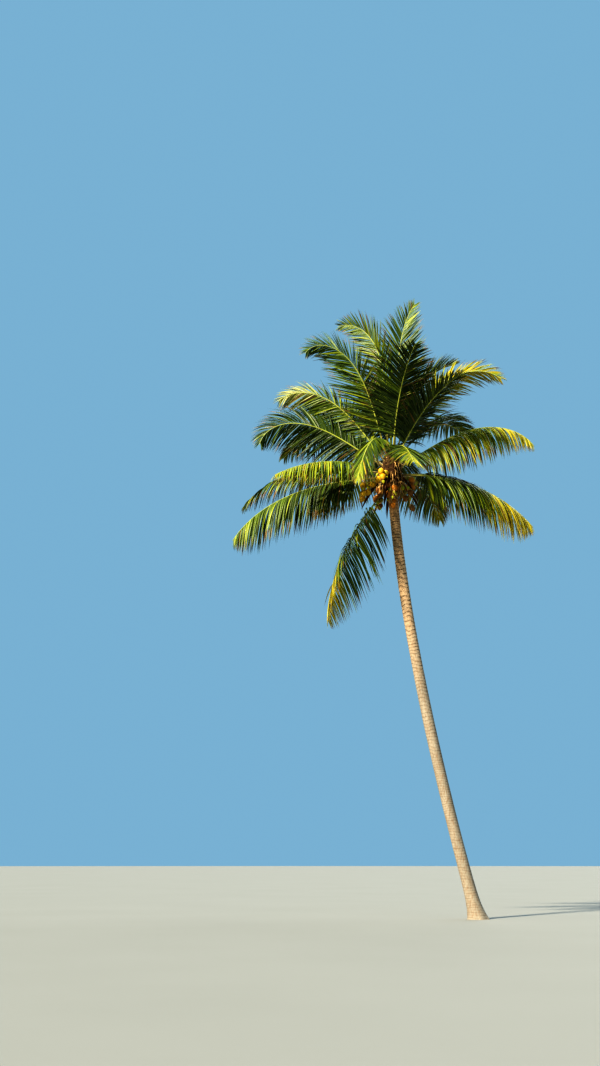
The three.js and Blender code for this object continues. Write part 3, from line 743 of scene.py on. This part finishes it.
def sheath_shape():
    """The heart: overlapping clasping leaf feet whose edges climb round it, with matted ridges.

    Its radius is 0.93 of the named one, plus a relief that grows from nothing at the trunk: flaps
    that stand out by depth * phase ^ 2, two sets of slanting ridges, and waves.
    """
    share = np.linspace(0, 1, SHEATH_ROWS)[:, None]
    heights = SHEATH_HEIGHTS[0] + (SHEATH_TOP - SHEATH_HEIGHTS[0] - 0.005) * share
    turn = full_turn(SHEATH_SIDES)[None]
    radius = np.interp(heights, (*SHEATH_HEIGHTS, SHEATH_TOP), (*SHEATH_RADII, SHEATH_TIP_RADIUS))
    climb = FLAPS * heights / FLAP_RISE + FLAPS * turn / (2 * np.pi)
    flaps = (climb + 0.25 * np.sin(5 * turn)) % 1.0
    ridges = 0.008 * np.abs(np.sin(24 * turn + 40 * heights))
    ridges = ridges + 0.006 * np.abs(np.sin(31 * turn - 37 * heights))
    waves = 0.02 * ripple(21, 6 * heights, 3 * np.cos(turn), 3 * np.sin(turn))
    relief = np.clip(8 * share, 0, 1) * (FLAP_DEPTH * flaps**2 + ridges + waves)
    rings = upright_rings(HEART[0], HEART[1], 0.93 * radius + relief - 0.01, heights, turn)
    values = np.stack([flaps, np.broadcast_to(share, flaps.shape)], axis=-1)
    return skin(rings, values=values[None])


# Fronds


def rib_frames(frond, shares):
    """Points, directions, sides and faces of a frond's rib at shares of its length.

    The elevation is rise - droop * share ^ bend at a constant heading, and the rib is the sum of
    short steps in that direction. The blade's side turns about the rib by roll along its stalk.
    """
    outward, level_side = compass(frond.heading)

    def direction(at):
        elevation = np.radians(frond.rise - frond.droop * at**frond.bend)
        return np.cos(elevation)[:, None] * outward + np.sin(elevation)[:, None] * UP

    foot = FOOT_LOW + FOOT_PER_DEGREE * frond.rise
    start = HEART + (sheath_radius(foot) - FOOT_INSET) * outward + foot * UP
    steps = direction((np.arange(RIB_STEPS) + 0.5) / RIB_STEPS) * frond.length / RIB_STEPS
    line = start + np.concatenate([np.zeros((1, 3)), np.cumsum(steps, axis=0)])
    stops = np.linspace(0, 1, RIB_STEPS + 1)
    points = np.stack([np.interp(shares, stops, line[:, k]) for k in range(3)], axis=-1)
    along = direction(shares)
    roll = np.radians(frond.roll) * np.clip((shares - ROLL_FROM) / ROLL_OVER, 0, 1)[:, None]
    side = np.cos(roll) * level_side + np.sin(roll) * np.cross(level_side, along)
    return points, along, side, np.cross(side, along)


def rib_half_width(frond, shares):
    """Half the rib's width: an even taper, and a clasping foot that falls with (1 - share / stalk) ^ 3.

    The foot is broader the lower the frond stands.
    """
    tip, gain = RIB_HALF_WIDTHS
    foot = FOOT_SPREAD * min(max(1 - frond.rise / 100, 0), 1)
    return tip + gain * (1 - shares) + foot * np.maximum(0, 1 - shares / PETIOLE_SHARE) ** 3


def rib_half_height(shares):
    """Half the rib's height: an even taper, and a stalk that falls with (1 - share / stalk) ^ 2."""
    tip, gain, stalk = RIB_HALF_HEIGHTS
    return tip + gain * (1 - shares) + stalk * np.maximum(0, 1 - shares / PETIOLE_SHARE) ** 2


def rib_shape(frond):
    """The rib: half width * cos ^ 0.8 across, and half height * (sin - channel) over and under.

    The channel along the top is depth * sin ^ 6 at the foot and fades out evenly.
    """
    shares = np.linspace(0, RIB_END, RIB_ROWS)
    points, _, side, face = rib_frames(frond, shares)
    turn = full_turn(RIB_SIDES)
    channel = CHANNEL_DEPTH * np.clip(1 - shares / CHANNEL_END, 0, 1)[:, None]
    channel = channel * np.clip(np.sin(turn), 0, 1) ** 6
    across = np.sign(np.cos(turn)) * np.abs(np.cos(turn)) ** 0.8
    across = rib_half_width(frond, shares)[:, None] * across
    rise = rib_half_height(shares)[:, None] * (np.sin(turn) - channel)
    tip = rib_frames(frond, np.array([1.0]))[0]
    return skin(carried_rings(points, side, face, across, rise), ends=tip)


def leaflet_share(order, fade):
    """Length of a leaflet as a share of the longest one.

    Up to the longest it is 1 - foot loss * (1 - order / place of the longest) ^ 2, and from there
    1 - tip loss * (share of the way to the tip) ^ fade.
    """
    rising = 1 - FOOT_LOSS * (1 - order / LONGEST_AT) ** 2
    falling = 1 - TIP_LOSS * (np.maximum(order - LONGEST_AT, 0) / (1 - LONGEST_AT)) ** fade
    return np.where(order < LONGEST_AT, rising, falling)


def carried(vector, start, end):
    """A vector across the unit direction start, turned as start turns the short way to end."""
    lean = (end * vector).sum(axis=-1, keepdims=True) / (1 + (start * end).sum(axis=-1, keepdims=True))
    return vector - lean * (start + end)


def leaflet_looks(frond, order, rng):
    """Material of each leaflet band: the frond's tint, its tip tint further out, and withered ends."""
    count = len(order)
    gold, dry = LOOKS.index("gold"), LOOKS.index("dry")
    tip = order > frond.turn + rng.normal(0, 0.05, count)
    base = np.where(tip, LOOKS.index(frond.tip), LOOKS.index(frond.tint))
    change = rng.choice([-1, 0, 1], size=count, p=LOOK_CHANGES)
    looks = np.where(base <= gold, np.clip(base + change, 0, gold), base)
    looks = np.where(rng.random(count) < WITHERED_LEAFLETS, dry, looks)
    bands = np.repeat(looks[:, None], LEAFLET_STEPS - 1, axis=1)
    bands[rng.random(count) < WITHERED_TIPS, -1] = dry
    return bands


def blade_swell(at):
    """Share of a leaflet's width: a quarter of a sine up to the widest part, then 1 - onward ^ 1.8."""
    opening = 0.45 + 0.55 * np.sin(np.pi / 2 * at / WIDEST_AT)
    closing = 1 - (np.maximum(at - WIDEST_AT, 0) / (1 - WIDEST_AT)) ** 1.8
    return np.maximum(np.where(at < WIDEST_AT, opening, closing), 0.05)


def leaflets_shape(frond, sign, sizes, rng):
    """All leaflets on one side of a frond, as thin folded blades.

    A leaflet leaves the rib at leaflet angle - closing * order degrees times the frond's spread, and
    lifts out of the blade. Its direction is that leaving direction plus a downward pull that grows
    with share ^ pull power. Its section is a shallow roof, half its swell wide on each side.
    """
    count = sizes.leaflets_a_side
    order = (np.arange(count) + 0.5) / count
    shares = PETIOLE_SHARE + (1 - PETIOLE_SHARE - BARE_TIP_SHARE) * order
    points, along, side, face = rib_frames(frond, shares)
    phase = order * count / LEAFLETS_A_GROUP + rng.random()
    group = np.sin(2 * np.pi * phase + rng.normal(0, 0.6, count))
    angle = frond.spread * (LEAFLET_ANGLE - ANGLE_CLOSING * order) + 3.0 * group
    angle = np.radians(angle + rng.normal(0, 2.2, count))[:, None]
    lift = np.radians(frond.lift + rng.normal(0, 5, count))[:, None]
    hang = frond.hang * (1 + 0.14 * group + rng.normal(0, 0.1, count)) + rng.normal(0, 0.03, count)
    size = leaflet_share(order, frond.fade)
    length = sizes.leaflet_length - LEAFLET_PER_DEGREE * frond.rise
    length = length * size * rng.uniform(0.88, 1.06, count)
    lifted = sign * np.cos(lift) * side + np.sin(lift) * face
    leave = np.cos(angle) * along + np.sin(angle) * lifted
    root = points + sign * ROOT_AT * rib_half_width(frond, shares)[:, None] * side

    def direction(at):
        pull = PULL * hang[:, None] * at**PULL_POWER
        return unit(leave[:, None] - pull[..., None] * UP)

    step = length[:, None, None] / LEAFLET_STEPS
    moves = direction((np.arange(LEAFLET_STEPS) + 0.5) / LEAFLET_STEPS) * step
    line = root[:, None] + np.concatenate([np.zeros((count, 1, 3)), np.cumsum(moves, axis=1)], axis=1)
    at = np.arange(LEAFLET_STEPS) / LEAFLET_STEPS
    onward = direction(at)
    level = unit(along - (along * leave).sum(axis=-1, keepdims=True) * leave)
    flat = carried(level[:, None], leave[:, None], onward)
    raised = sign * np.cross(onward, flat)
    twist = rng.normal(0, 0.35, count)[:, None] + rng.normal(0, 0.5, count)[:, None] * at
    cosine, sine = np.cos(twist)[..., None], np.sin(twist)[..., None]
    up = cosine * raised - sine * flat
    width = sizes.leaflet_width * (0.45 + 0.55 * size) * rng.uniform(0.85, 1.1, count)
    half = (0.5 * width[:, None] * blade_swell(at))[..., None]
    middle, edge, fold = line[:, :-1], half * (cosine * flat + sine * raised), BLADE_FOLD * half
    rings = np.stack(
        [middle - edge, middle + fold * up, middle + edge, middle + (fold - BLADE_THICKNESS) * up],
        axis=2,
    )
    chart = np.empty((count, LEAFLET_STEPS, 4, 2))
    chart[..., 0] = (0.0, 0.5, 1.0, 0.5)
    chart[..., 1] = at[:, None]
    return skin(rings, ends=line[:, -1], looks=leaflet_looks(frond, order, rng), values=chart)


def spear_shape():
    """The closed youngest leaf: a tall spindle with folded leaflets as pleats round it.

    Its radius is its girth * (1 + 0.16 * cos(9 * turn + 5 * share)), and it bows with share ^ 2.
    """
    low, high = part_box("spear_leaf")
    share = np.linspace(0.0, 0.995, 90)[:, None]
    turn = full_turn(36)[None]
    girth = np.interp(share, (0, 0.1, 0.3, 0.6, 0.85, 1), (0.6, 0.9, 1, 0.8, 0.5, 0.0))
    radius = SPEAR_RADIUS * girth * (1 + 0.16 * np.cos(9 * turn + 5 * share))
    heights = low.z + (high.z - low.z) * share
    return skin(upright_rings(HEART[0] + SPEAR_BOW * share**2, HEART[1], radius, heights, turn))


# Fruit


def turned_rings(nuts, stops, girths, sides, lobes, depth):
    """Rings round each nut's axis: radius * girth * (1 + depth * cos(lobes * turn)) at each stop."""
    turn = full_turn(sides)
    across = unit(np.cross(nuts.axes, np.array([0.3, 0.9, 0.1])))
    ring = circle(turn, across, np.cross(nuts.axes, across))
    ring = ring * (1 + depth * np.cos(lobes * turn))[:, None]
    centre = nuts.middles[:, None] + (stops * nuts.lengths[:, None])[..., None] * nuts.axes[:, None]
    return centre[:, :, None] + (girths * nuts.radii[:, None])[..., None, None] * ring[:, None]


def bunch_frame(bunch):
    """Outward and side directions of a bunch, and the place on its stalk at a share of its length.

    The stalk goes out by reach * sin(share * 90 degrees) and down by fall * share ^ 2, less an arch.
    """
    outward, side = compass(bunch.heading)
    foot = HEART + (STALK_RING - STALK_INSET) * outward + bunch.foot * UP
    reach = bunch.reach - STALK_RING

    def place(share):
        share = np.asarray(share, float)[..., None]
        out = reach * np.sin(share * np.pi / 2)
        down = bunch.fall * share**2 - STALK_ARCH * np.sin(share * np.pi)
        return foot + out * outward - down * UP

    return outward, side, place


def clear_of_heart(middles, radii):
    """Points moved level outward until round bodies of those radii stand clear of the heart.

    The least distance from the heart's axis is the heart's radius + the body's + a margin.
    """
    level = (middles - HEART) * LEVEL
    distance = np.linalg.norm(level, axis=-1)
    least = sheath_radius(middles[:, 2]) + radii + HEART_MARGIN
    short = np.maximum(least - distance, 0) / distance
    return middles + short[:, None] * level


def spread_apart(middles, gap, radii):
    """Points moved apart in rounds, each by a quarter of what a pair lacks, and clear of the heart."""
    same = np.eye(len(middles))
    for _ in range(SPREAD_ROUNDS):
        apart = middles[:, None] - middles[None]
        distance = np.linalg.norm(apart, axis=-1) + same
        push = np.clip(gap - distance, 0, None) / distance * (1 - same)
        middles = middles + 0.25 * (push[..., None] * apart).sum(axis=1)
        middles = clear_of_heart(middles, radii)
    return middles


Nuts = namedtuple("Nuts", "middles axes lengths radii share young")


def nut_places(bunch, index, sizes, rng):
    """A bunch's nuts: full ones spaced back along its stalk and round it, and small ones between."""
    outward, side, place = bunch_frame(bunch)
    number = np.arange(bunch.nuts)
    small = bunch.nuts + 2
    share = FIRST_NUT_AT - NUTS_OVER * number / bunch.nuts
    share = np.concatenate([share, rng.uniform(*SMALL_NUT_PLACES, small)])
    around = np.radians(NUT_TURN * number + BUNCH_TURN * index)
    around = np.concatenate([around, rng.uniform(0, 2 * np.pi, small)])
    size = np.concatenate([np.full(bunch.nuts, 1.0), rng.uniform(*SMALL_NUT_SIZES, small)])
    lengths, radii = size * sizes.nut_length, size * sizes.nut_radius
    middles = place(share)
    middles = middles + (0.95 * sizes.nut_radius * np.cos(around))[:, None] * side
    middles = middles + (0.7 * sizes.nut_radius * np.sin(around))[:, None] * outward
    middles = middles - 0.2 * sizes.nut_length * UP
    middles = spread_apart(middles, NUT_GAP * sizes.nut_radius, radii)
    axes = unit(-UP + 0.35 * outward + (0.4 * np.cos(around))[:, None] * side)
    return Nuts(middles, axes, lengths, radii, share, np.repeat([0, 1], [bunch.nuts, small]))


def nuts_shape(nuts):
    """Three-sided husks, broad above the middle and with a small nipple at the free end.

    The girth at t is sin(180 degrees * t ^ 0.85) ^ 0.72 * (1 - 0.12 * t).
    """
    t = np.linspace(0.015, 0.985, 16)
    girth = np.sin(np.pi * t**0.85) ** 0.72 * (1 - 0.12 * t)
    lengths = nuts.lengths[:, None]
    return skin(
        turned_rings(nuts, t - 0.5, girth, 20, 3, 0.055),
        starts=nuts.middles - 0.5 * lengths * nuts.axes,
        ends=nuts.middles + 0.53 * lengths * nuts.axes,
        looks=np.repeat(nuts.young[:, None], len(t) - 1, axis=1),
    )


def caps_shape(nuts):
    """The leathery cap of six overlapping lobes that holds a nut to its twig, turned from a profile."""
    stops = np.array([-0.545, -0.52, -0.46, -0.4, -0.38, -0.43])
    girths = np.array([0.12, 0.3, 0.52, 0.6, 0.56, 0.3])
    return skin(turned_rings(nuts, stops, girths, 18, 6, 0.1))


def bunch_stalks_shape(bunch, nuts, rng):
    """The main stalk, a twig to each nut and bare twigs that hang between them."""
    outward, side, place = bunch_frame(bunch)
    stops = np.linspace(0, 1, 24)
    girth = np.interp(stops, (0, 0.35, 0.85, 1), (0.034, 0.028, 0.02, 0.006))
    main = skin(tube(place(stops), side, girth, 0.8 * girth, 8))
    tops = nuts.middles - 0.53 * nuts.lengths[:, None] * nuts.axes
    feet = place(np.clip(nuts.share - 0.12, 0.2, 0.95))
    twigs = skin(strands(feet, 0.5 * (feet + tops) + 0.05 * UP, tops, 0.009, 0.7, 9, 5))
    feet = place(rng.uniform(0.35, 0.98, BARE_TWIGS))
    swing = rng.normal(0, 1, (BARE_TWIGS, 2))
    ends = feet + 0.12 * swing[:, :1] * side + (0.1 + 0.08 * swing[:, 1:]) * outward
    ends = ends - rng.uniform(0.2, 0.42, BARE_TWIGS)[:, None] * UP
    bends = feet + 0.6 * (ends - feet) * np.array([1.2, 1.2, 0.2])
    return joined([main, twigs, skin(strands(feet, bends, ends, 0.006, 0.4, 9, 4))])


def spathe_shape(bunch, index):
    """The woody sheath that covered the flowers: a pointed boat whose section is a thick crescent.

    It leans to one side or the other by turns and falls with share ^ 1.3. The crescent goes out along
    an arc of 230 degrees and back along one of 0.84 its radius, moved by 0.06 of it.
    """
    outward, side, place = bunch_frame(bunch)
    share = np.linspace(0.0, 0.99, 30)
    lean = (-1) ** index * SPATHE_LENGTH * 0.18 * np.sin(share * np.pi / 2)
    line = place(SPATHE_AT) + lean[:, None] * side + (SPATHE_LENGTH * 0.5 * share)[:, None] * outward
    line = line - (SPATHE_LENGTH * 0.85 * share**1.3)[:, None] * UP
    along = unit(np.gradient(line, axis=0))
    up = unit(np.cross(side, along))
    girth = np.interp(share, (0, 0.12, 0.4, 0.75, 1), (0.25, 0.7, 1, 0.6, 0.04))
    half = SPATHE_HALF_WIDTH * girth[:, None]
    bow = np.radians(np.linspace(-115, 115, 11))
    outer = np.stack([np.sin(bow), np.cos(bow)])
    inner = np.stack([0.84 * np.sin(bow[::-1]), 0.84 * np.cos(bow[::-1]) - 0.06])
    across, rise = np.concatenate([outer, inner], axis=1)
    ribbed = 1 + 0.03 * np.cos(np.arange(len(across)) * np.pi)
    rings = carried_rings(line, np.cross(along, up), up, half * across * ribbed, -half * rise * ribbed)
    return skin(rings)


def dry_stalks_shape(rng):
    """Old fruit stalks and torn sheath threads that hang round the top of the trunk.

    Each is a strand from a random foot on the heart, out by a random reach and down by its fall.
    """
    turn = rng.uniform(0, 2 * np.pi, DRY_STALKS)
    outward = np.stack([np.cos(turn), np.sin(turn), 0 * turn], axis=-1)
    height = rng.uniform(12.9, 14.1, DRY_STALKS)
    feet = HEART + (sheath_radius(height) - 0.02)[:, None] * outward + height[:, None] * UP
    fall = rng.uniform(0.3, 0.9, DRY_STALKS)[:, None]
    ends = feet + rng.uniform(-0.04, 0.3, DRY_STALKS)[:, None] * outward - fall * UP
    ends = ends + rng.normal(0, 0.06, (DRY_STALKS, 3))
    bends = feet + rng.uniform(0.08, 0.3, DRY_STALKS)[:, None] * outward - 0.3 * fall * UP
    pale = (rng.random(DRY_STALKS) < 0.45).astype(int)[:, None]
    shapes = []
    for part, radius, taper, rows, sides in (
        (slice(None, STOUT_STALKS), 0.02, 0.35, 14, 6),
        (slice(STOUT_STALKS, None), 0.008, 0.3, 12, 5),
    ):
        rings = strands(feet[part], bends[part], ends[part], radius, taper, rows, sides)
        shapes.append(skin(rings, looks=np.repeat(pale[part], rows - 1, axis=1)))
    return joined(shapes)


def node_names(prefix):
    """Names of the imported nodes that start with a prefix."""
    names = sorted(name for name in frame["nodes"] if name.startswith(prefix))
    if not names:
        raise RuntimeError(f"no packed node starts with {prefix}")
    return names


def frame_slot(node):
    """The record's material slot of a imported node."""
    for part in frame["record"]["subparts"]:
        if part["node"] == node:
            return part["material_slot"]
    raise RuntimeError(f"the record gives {node} no material slot")


# Operators


class PALM_OT_add_trunk(bpy.types.Operator):
    """Adds the leaning trunk with its leaf scars and root flare"""

    bl_idname = "palm.add_trunk"
    bl_label = "Add Trunk"

    def execute(self, context):
        scene = context.scene
        bark = bark_finish("ringed_bark", scene.palm_colours)
        add_piece("trunk_bark", trunk_shape(scene.palm_sizes), [bark], ["trunk"])
        return {"FINISHED"}


class PALM_OT_add_heart(bpy.types.Operator):
    """Adds the matted leaf sheaths, the dry stalks that hang from them and the closed young leaf"""

    bl_idname = "palm.add_heart"
    bl_label = "Add Heart"

    def execute(self, context):
        colours = context.scene.palm_colours
        # The sheath fibre's very dark colour is its own brown and also painted shade inside the crown's
        # heart.
        matted = matted_finish(
            "sheath_fibre", colours.fibre, (14.0, 14.0, 5.0), 0.9, tuple(colours.stalk)
        )
        add_piece("sheath_fibre", sheath_shape(), [matted], ["leaf_sheaths"])
        dry = stalk_finish("dry_stalk", colours.stalk)
        old = stalk_finish("old_stalk", colours.old_stalk)
        hanging = dry_stalks_shape(np.random.default_rng(STALK_SEED))
        add_piece("dry_stalks", hanging, [old, dry])
        leaf = leaf_finishes(colours)[LOOKS.index("lime")]
        add_piece("spear", spear_shape(), [leaf], ["spear_leaf"])
        return {"FINISHED"}


class PALM_OT_add_fronds(bpy.types.Operator):
    """Adds every frond: a rib and its leaflets"""

    bl_idname = "palm.add_fronds"
    bl_label = "Add Fronds"

    def execute(self, context):
        sizes, colours = context.scene.palm_sizes, context.scene.palm_colours
        blade = leaf_finishes(colours)
        rib = [rib_finish("frond_rib", colours)]
        nodes, ribs, leaflets = defaultdict(list), defaultdict(list), defaultdict(list)
        for number, frond in enumerate(FRONDS, start=1):
            rng = np.random.default_rng(number)
            own = node_names(f"frond_{number:02d}")
            slot = frame_slot(own[0])
            nodes[slot] += own
            ribs[slot].append(rib_shape(frond))
            leaflets[slot] += [leaflets_shape(frond, sign, sizes, rng) for sign in (-1, 1)]
        for slot in nodes:
            add_piece(f"{slot}_ribs", joined(ribs[slot]), rib, nodes[slot])
            add_piece(f"{slot}_leaflets", joined(leaflets[slot]), blade, nodes[slot])
        return {"FINISHED"}


class PALM_OT_add_fruit(bpy.types.Operator):
    """Adds every bunch: its nuts with their caps, its stalks and its dry spathe"""

    bl_idname = "palm.add_fruit"
    bl_label = "Add Fruit"

    def execute(self, context):
        sizes, colours = context.scene.palm_sizes, context.scene.palm_colours
        dry = stalk_finish("dry_stalk", colours.stalk)
        woody = matted_finish("spathe_wood", colours.spathe, (16.0, 16.0, 3.0), 0.5)
        young = nut_finish("young_husk", colours.young_nut, colours.yellow_nut)
        nodes, nuts, stalks, spathes = defaultdict(list), defaultdict(list), [], []
        for index, bunch in enumerate(BUNCHES):
            rng = np.random.default_rng(FRUIT_SEED + index)
            nodes[bunch.tint] += node_names(f"fruit_bunch_{index + 1}")
            placed = nut_places(bunch, index, sizes, rng)
            nuts[bunch.tint].append(nuts_shape(placed))
            stalks.append(bunch_stalks_shape(bunch, placed, rng))
            stalks.append(caps_shape(placed))
            spathes.append(spathe_shape(bunch, index))
        for tint in nuts:
            husk = nut_finish(f"{tint}_husk", getattr(colours, tint), colours.brown_nut)
            add_piece(f"{tint}s", joined(nuts[tint]), [husk, young], nodes[tint])
        every = node_names("fruit_bunch_")
        add_piece("fruit_stalks", joined(stalks), [dry], every)
        add_piece("spathes", joined(spathes), [woody], every)
        return {"FINISHED"}


class PALM_OT_set_stage(bpy.types.Operator):
    """Adds the plain pale floor, the soft light and the camera"""

    bl_idname = "palm.set_stage"
    bl_label = "Set Stage"

    def execute(self, context):
        scene = context.scene
        add_floor()
        add_light()
        add_camera(scene)
        scene.view_settings.view_transform = "Standard"
        scene.view_settings.look = "Very High Contrast"
        return {"FINISHED"}


def add_floor():
    """A wide pale disc at ground level."""
    mesh = bpy.data.meshes.new("floor")
    turn = full_turn(FLOOR_SIDES)
    rim = FLOOR_RADIUS * np.stack([np.cos(turn), np.sin(turn), 0 * turn], axis=-1)
    mesh.from_pydata(rim, [], [list(range(FLOOR_SIDES))])
    finish = Finish("pale_floor", 0.9, (0.2, 0.2, 0.2), 0.3)
    finish.colour(finish.mix(finish.mask, *FLOOR_TONES))
    mesh.materials.append(finish.material)
    floor = new_object("floor", mesh)


def add_sun(name, energy, width, colour, turns):
    """A far lamp: its strength, its width in degrees, its colour and its three turns in degrees."""
    lamp = bpy.data.lights.new(name, "SUN")
    lamp.energy = energy
    lamp.angle = math.radians(width)
    lamp.color = colour
    new_object(name, lamp).rotation_euler = [math.radians(turn) for turn in turns]


def add_light():
    """A warm key from the front left, a weak wide fill from behind and an even blue sky."""
    add_sun("key", energy=6.2, width=4, colour=(1.0, 0.9, 0.72), turns=(52, -8, -38))
    add_sun("fill", energy=1.4, width=60, colour=(0.9, 0.95, 1.0), turns=(-48, 0, -30))
    world = bpy.data.worlds.new("studio")
    world.use_nodes = True
    sky = world.node_tree.nodes["Background"]
    sky.inputs["Color"].default_value = SKY_COLOUR
    sky.inputs["Strength"].default_value = SKY_STRENGTH
    bpy.context.scene.world = world


def add_camera(scene):
    """The photograph's camera: near the ground, looking along +Y and up."""
    lens = bpy.data.cameras.new("camera")
    lens.sensor_width = SENSOR
    lens.lens = FOCAL_PIXELS / LONG_SIDE_PIXELS * SENSOR
    lens.clip_end = 1000
    scene.camera = new_object("camera", lens)
    scene.camera.location = CAMERA_PLACE
    scene.camera.rotation_euler = (math.radians(CAMERA_PITCH), 0, 0)


class PALM_PT_panel(bpy.types.Panel):
    """Sidebar panel with the palm's sizes, colours and building steps"""

    bl_idname = "PALM_PT_panel"
    bl_label = "Coconut Palm"
    bl_space_type = "VIEW_3D"
    bl_region_type = "UI"
    bl_category = "Palm"

    def draw(self, context):
        layout = self.layout
        for settings in (context.scene.palm_sizes, context.scene.palm_colours):
            box = layout.box()
            for name in settings.__annotations__:
                box.prop(settings, name)
        for operator in OPERATORS:
            layout.operator(operator.bl_idname)


OPERATORS = (
    PALM_OT_add_trunk,
    PALM_OT_add_heart,
    PALM_OT_add_fronds,
    PALM_OT_add_fruit,
    PALM_OT_set_stage,
)
CLASSES = (PalmSizes, PalmColours, *OPERATORS, PALM_PT_panel)


def register():
    """Registers the classes and gives a scene the palm's sizes and colours."""
    for each in CLASSES:
        bpy.utils.register_class(each)
    bpy.types.Scene.palm_sizes = PointerProperty(type=PalmSizes)
    bpy.types.Scene.palm_colours = PointerProperty(type=PalmColours)


def unregister():
    """Takes back what register did."""
    del bpy.types.Scene.palm_colours
    del bpy.types.Scene.palm_sizes
    for each in reversed(CLASSES):
        bpy.utils.unregister_class(each)


def main():
    """Builds the palm and its stage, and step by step."""
    register()
    bpy.ops.palm.add_trunk()
    bpy.ops.palm.add_heart()
    bpy.ops.palm.add_fronds()
    bpy.ops.palm.add_fruit()
    bpy.ops.palm.set_stage()
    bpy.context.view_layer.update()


if __name__ == "__main__":
    main()
